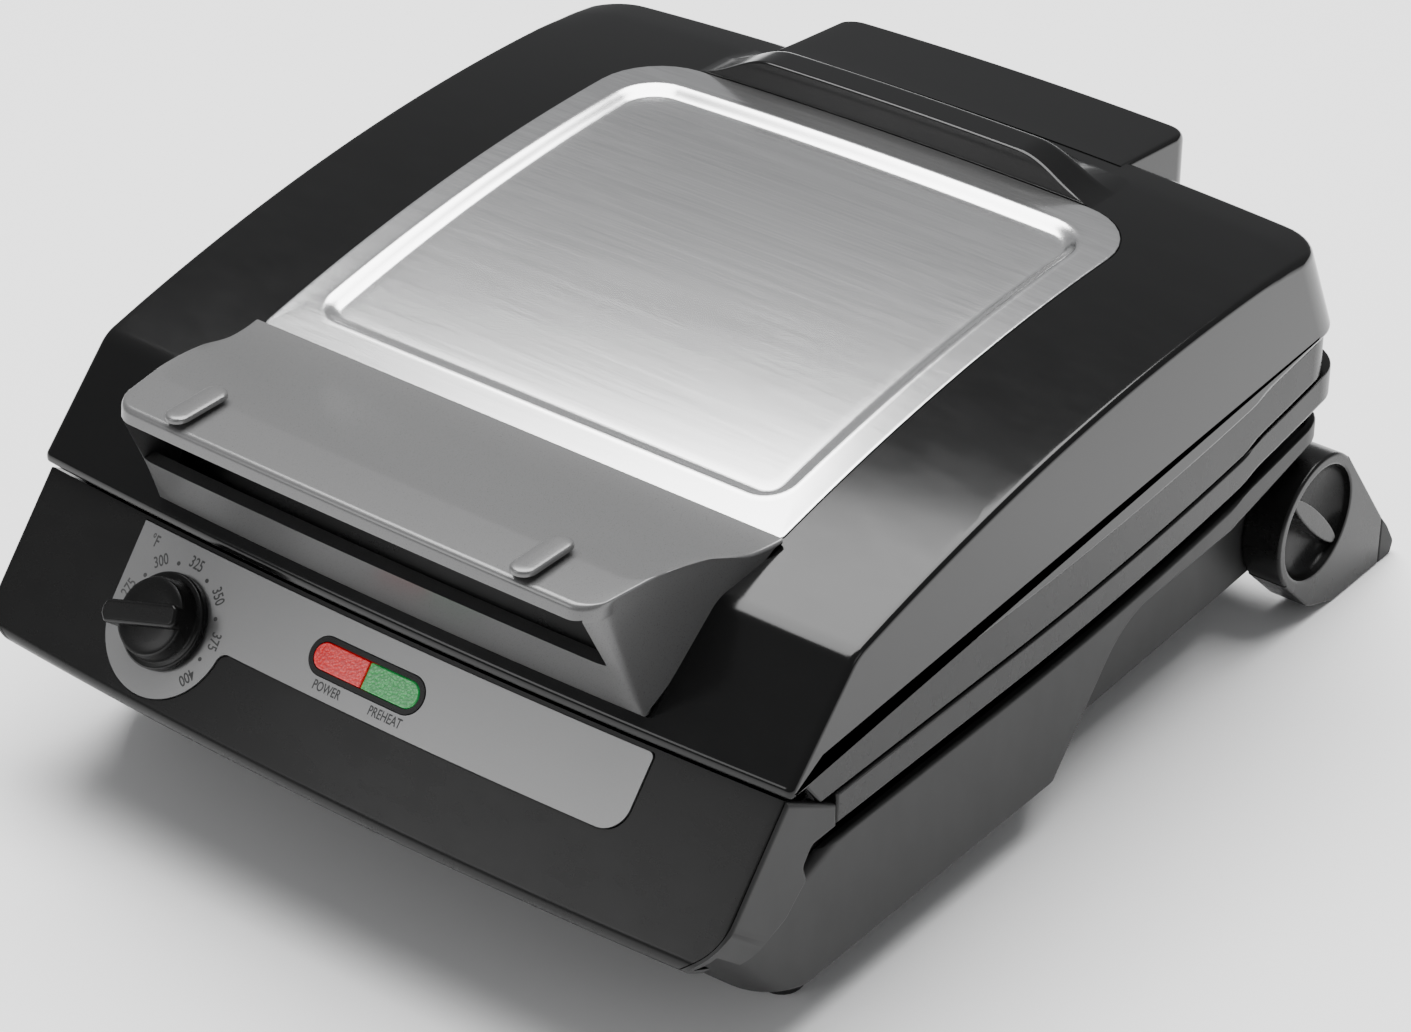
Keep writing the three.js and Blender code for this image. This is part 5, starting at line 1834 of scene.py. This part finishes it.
class Works:
    """The pieces that keep their plain shapes, each with its finish."""

    FINISHES = {
        Finish.REFLECTOR_SHEET: ("upper_reflector", "lower_reflector"),
        Finish.COATED_PLATE: ("upper_cooking_plate", "lower_cooking_plate"),
        Finish.BRIGHT_METAL: (
            "upper_heating_element", "lower_heating_element", "thermostat_shaft", "hinge_pin_right",
            "hinge_pin_left", "cover_screw_front_right", "cover_screw_front_left", "cover_screw_back_right",
            "cover_screw_back_left", "stand_pivot_right", "stand_pivot_left",
        ),
        Finish.SATIN_BLACK: ("hinge_housing_cover",),
        Finish.BASE_GREY: ("bottom_cover", "hinge_bracket_right", "hinge_bracket_left"),
        Finish.CERAMIC: ("power_lamp", "preheat_lamp", "thermostat_body", "terminal_block"),
        Finish.RUBBER: ("cord_gland", "front_foot_right", "front_foot_left"),
    }

    def build(self, bench: Bench) -> None:
        """Dresses every piece that keeps its shape."""
        for finish, nodes in self.FINISHES.items():
            for node in nodes:
                bench.dress(node, finish)


# ---------------------------------------------------------------- the room


@dataclass(frozen=True)
class Studio:
    """A pale floor, soft lights and the camera."""

    lens: float = 108.4
    target: tuple = (-0.004, -0.0034, 0.0605)
    back: tuple = (0.5216, -0.6652, 0.5344)
    distance: float = 1.5

    def floor(self) -> None:
        """Lays a plain pale floor."""
        points = np.array([(-30, -30, 0), (30, -30, 0), (30, 30, 0), (-30, 30, 0)], float)
        mesh = bpy.data.meshes.new("floor")
        mesh.from_pydata(points.tolist(), [], [(0, 1, 2, 3)])
        g = Graph("floor_paper")
        g.put(Base_Color=(0.95, 0.95, 0.95, 1.0), Roughness=0.8)
        mesh.materials.append(g.material)
        piece = bpy.data.objects.new("floor", mesh)
        bpy.context.scene.collection.objects.link(piece)

    def lamp(
        self, name: str, power: float, size: float, place: Sequence[float], aim: Sequence[float]
    ) -> None:
        """Hangs a large soft light that looks at a point."""
        data = bpy.data.lights.new(name, "AREA")
        data.energy = power
        data.shape = "RECTANGLE"
        data.size = size
        data.size_y = size * 0.7
        lamp = bpy.data.objects.new(name, data)
        lamp.location = place
        lamp.rotation_euler = (Vector(place) - Vector(aim)).to_track_quat("Z", "Y").to_euler()
        bpy.context.scene.collection.objects.link(lamp)

    def camera(self) -> None:
        """Sets the camera at the right front corner, looking down."""
        data = bpy.data.cameras.new("camera")
        data.lens = self.lens
        data.sensor_width = 36
        viewer = bpy.data.objects.new("camera", data)
        back = Vector(self.back).normalized()
        viewer.location = Vector(self.target) + back * self.distance
        viewer.rotation_euler = back.to_track_quat("Z", "Y").to_euler()
        bpy.context.scene.collection.objects.link(viewer)
        bpy.context.scene.camera = viewer

    def build(self) -> None:
        """Sets up the floor, the lights, the surroundings and the camera."""
        self.floor()
        self.lamp("overhead", 130.0, 2.3, (-0.25, 0.35, 2.0), (-0.1, 0.1, 0.1))
        self.lamp("front_fill", 7.0, 0.9, (-0.9, -1.8, 1.0), (0, 0, 0.1))
        self.lamp("right_side", 2.0, 0.8, (1.9, 0.1, 0.8), (0, 0, 0.08))
        world = bpy.data.worlds.new("studio")
        world.use_nodes = True
        sky = next(n for n in world.node_tree.nodes if n.type == "BACKGROUND")
        sky.inputs["Color"].default_value = (0.97, 0.98, 1.0, 1.0)
        sky.inputs["Strength"].default_value = 0.3
        bpy.context.scene.world = world
        self.camera()


def main() -> None:
    """Builds the object piece by piece, then the room, and reports each piece."""
    logging.basicConfig(level=logging.INFO, format="%(name)s: %(message)s")
    bench = Bench(Wardrobe())
    lid = Lid(LidSizes(), PanelSizes())
    housings = Housings(HousingSizes())
    fascia = Fascia(FasciaSizes())
    lid.build(bench)
    Handle(HandleSizes(), lid).build(bench)
    housings.build(bench)
    Base(BaseSizes(), housings).build(bench)
    fascia.build(bench)
    Knob(KnobSizes(), fascia).build(bench)
    Stand(StandSizes()).build(bench)
    Works().build(bench)
    Studio().build()
    LOG.info("%d pieces made", len(bench.made))


if __name__ == "__main__":
    main()
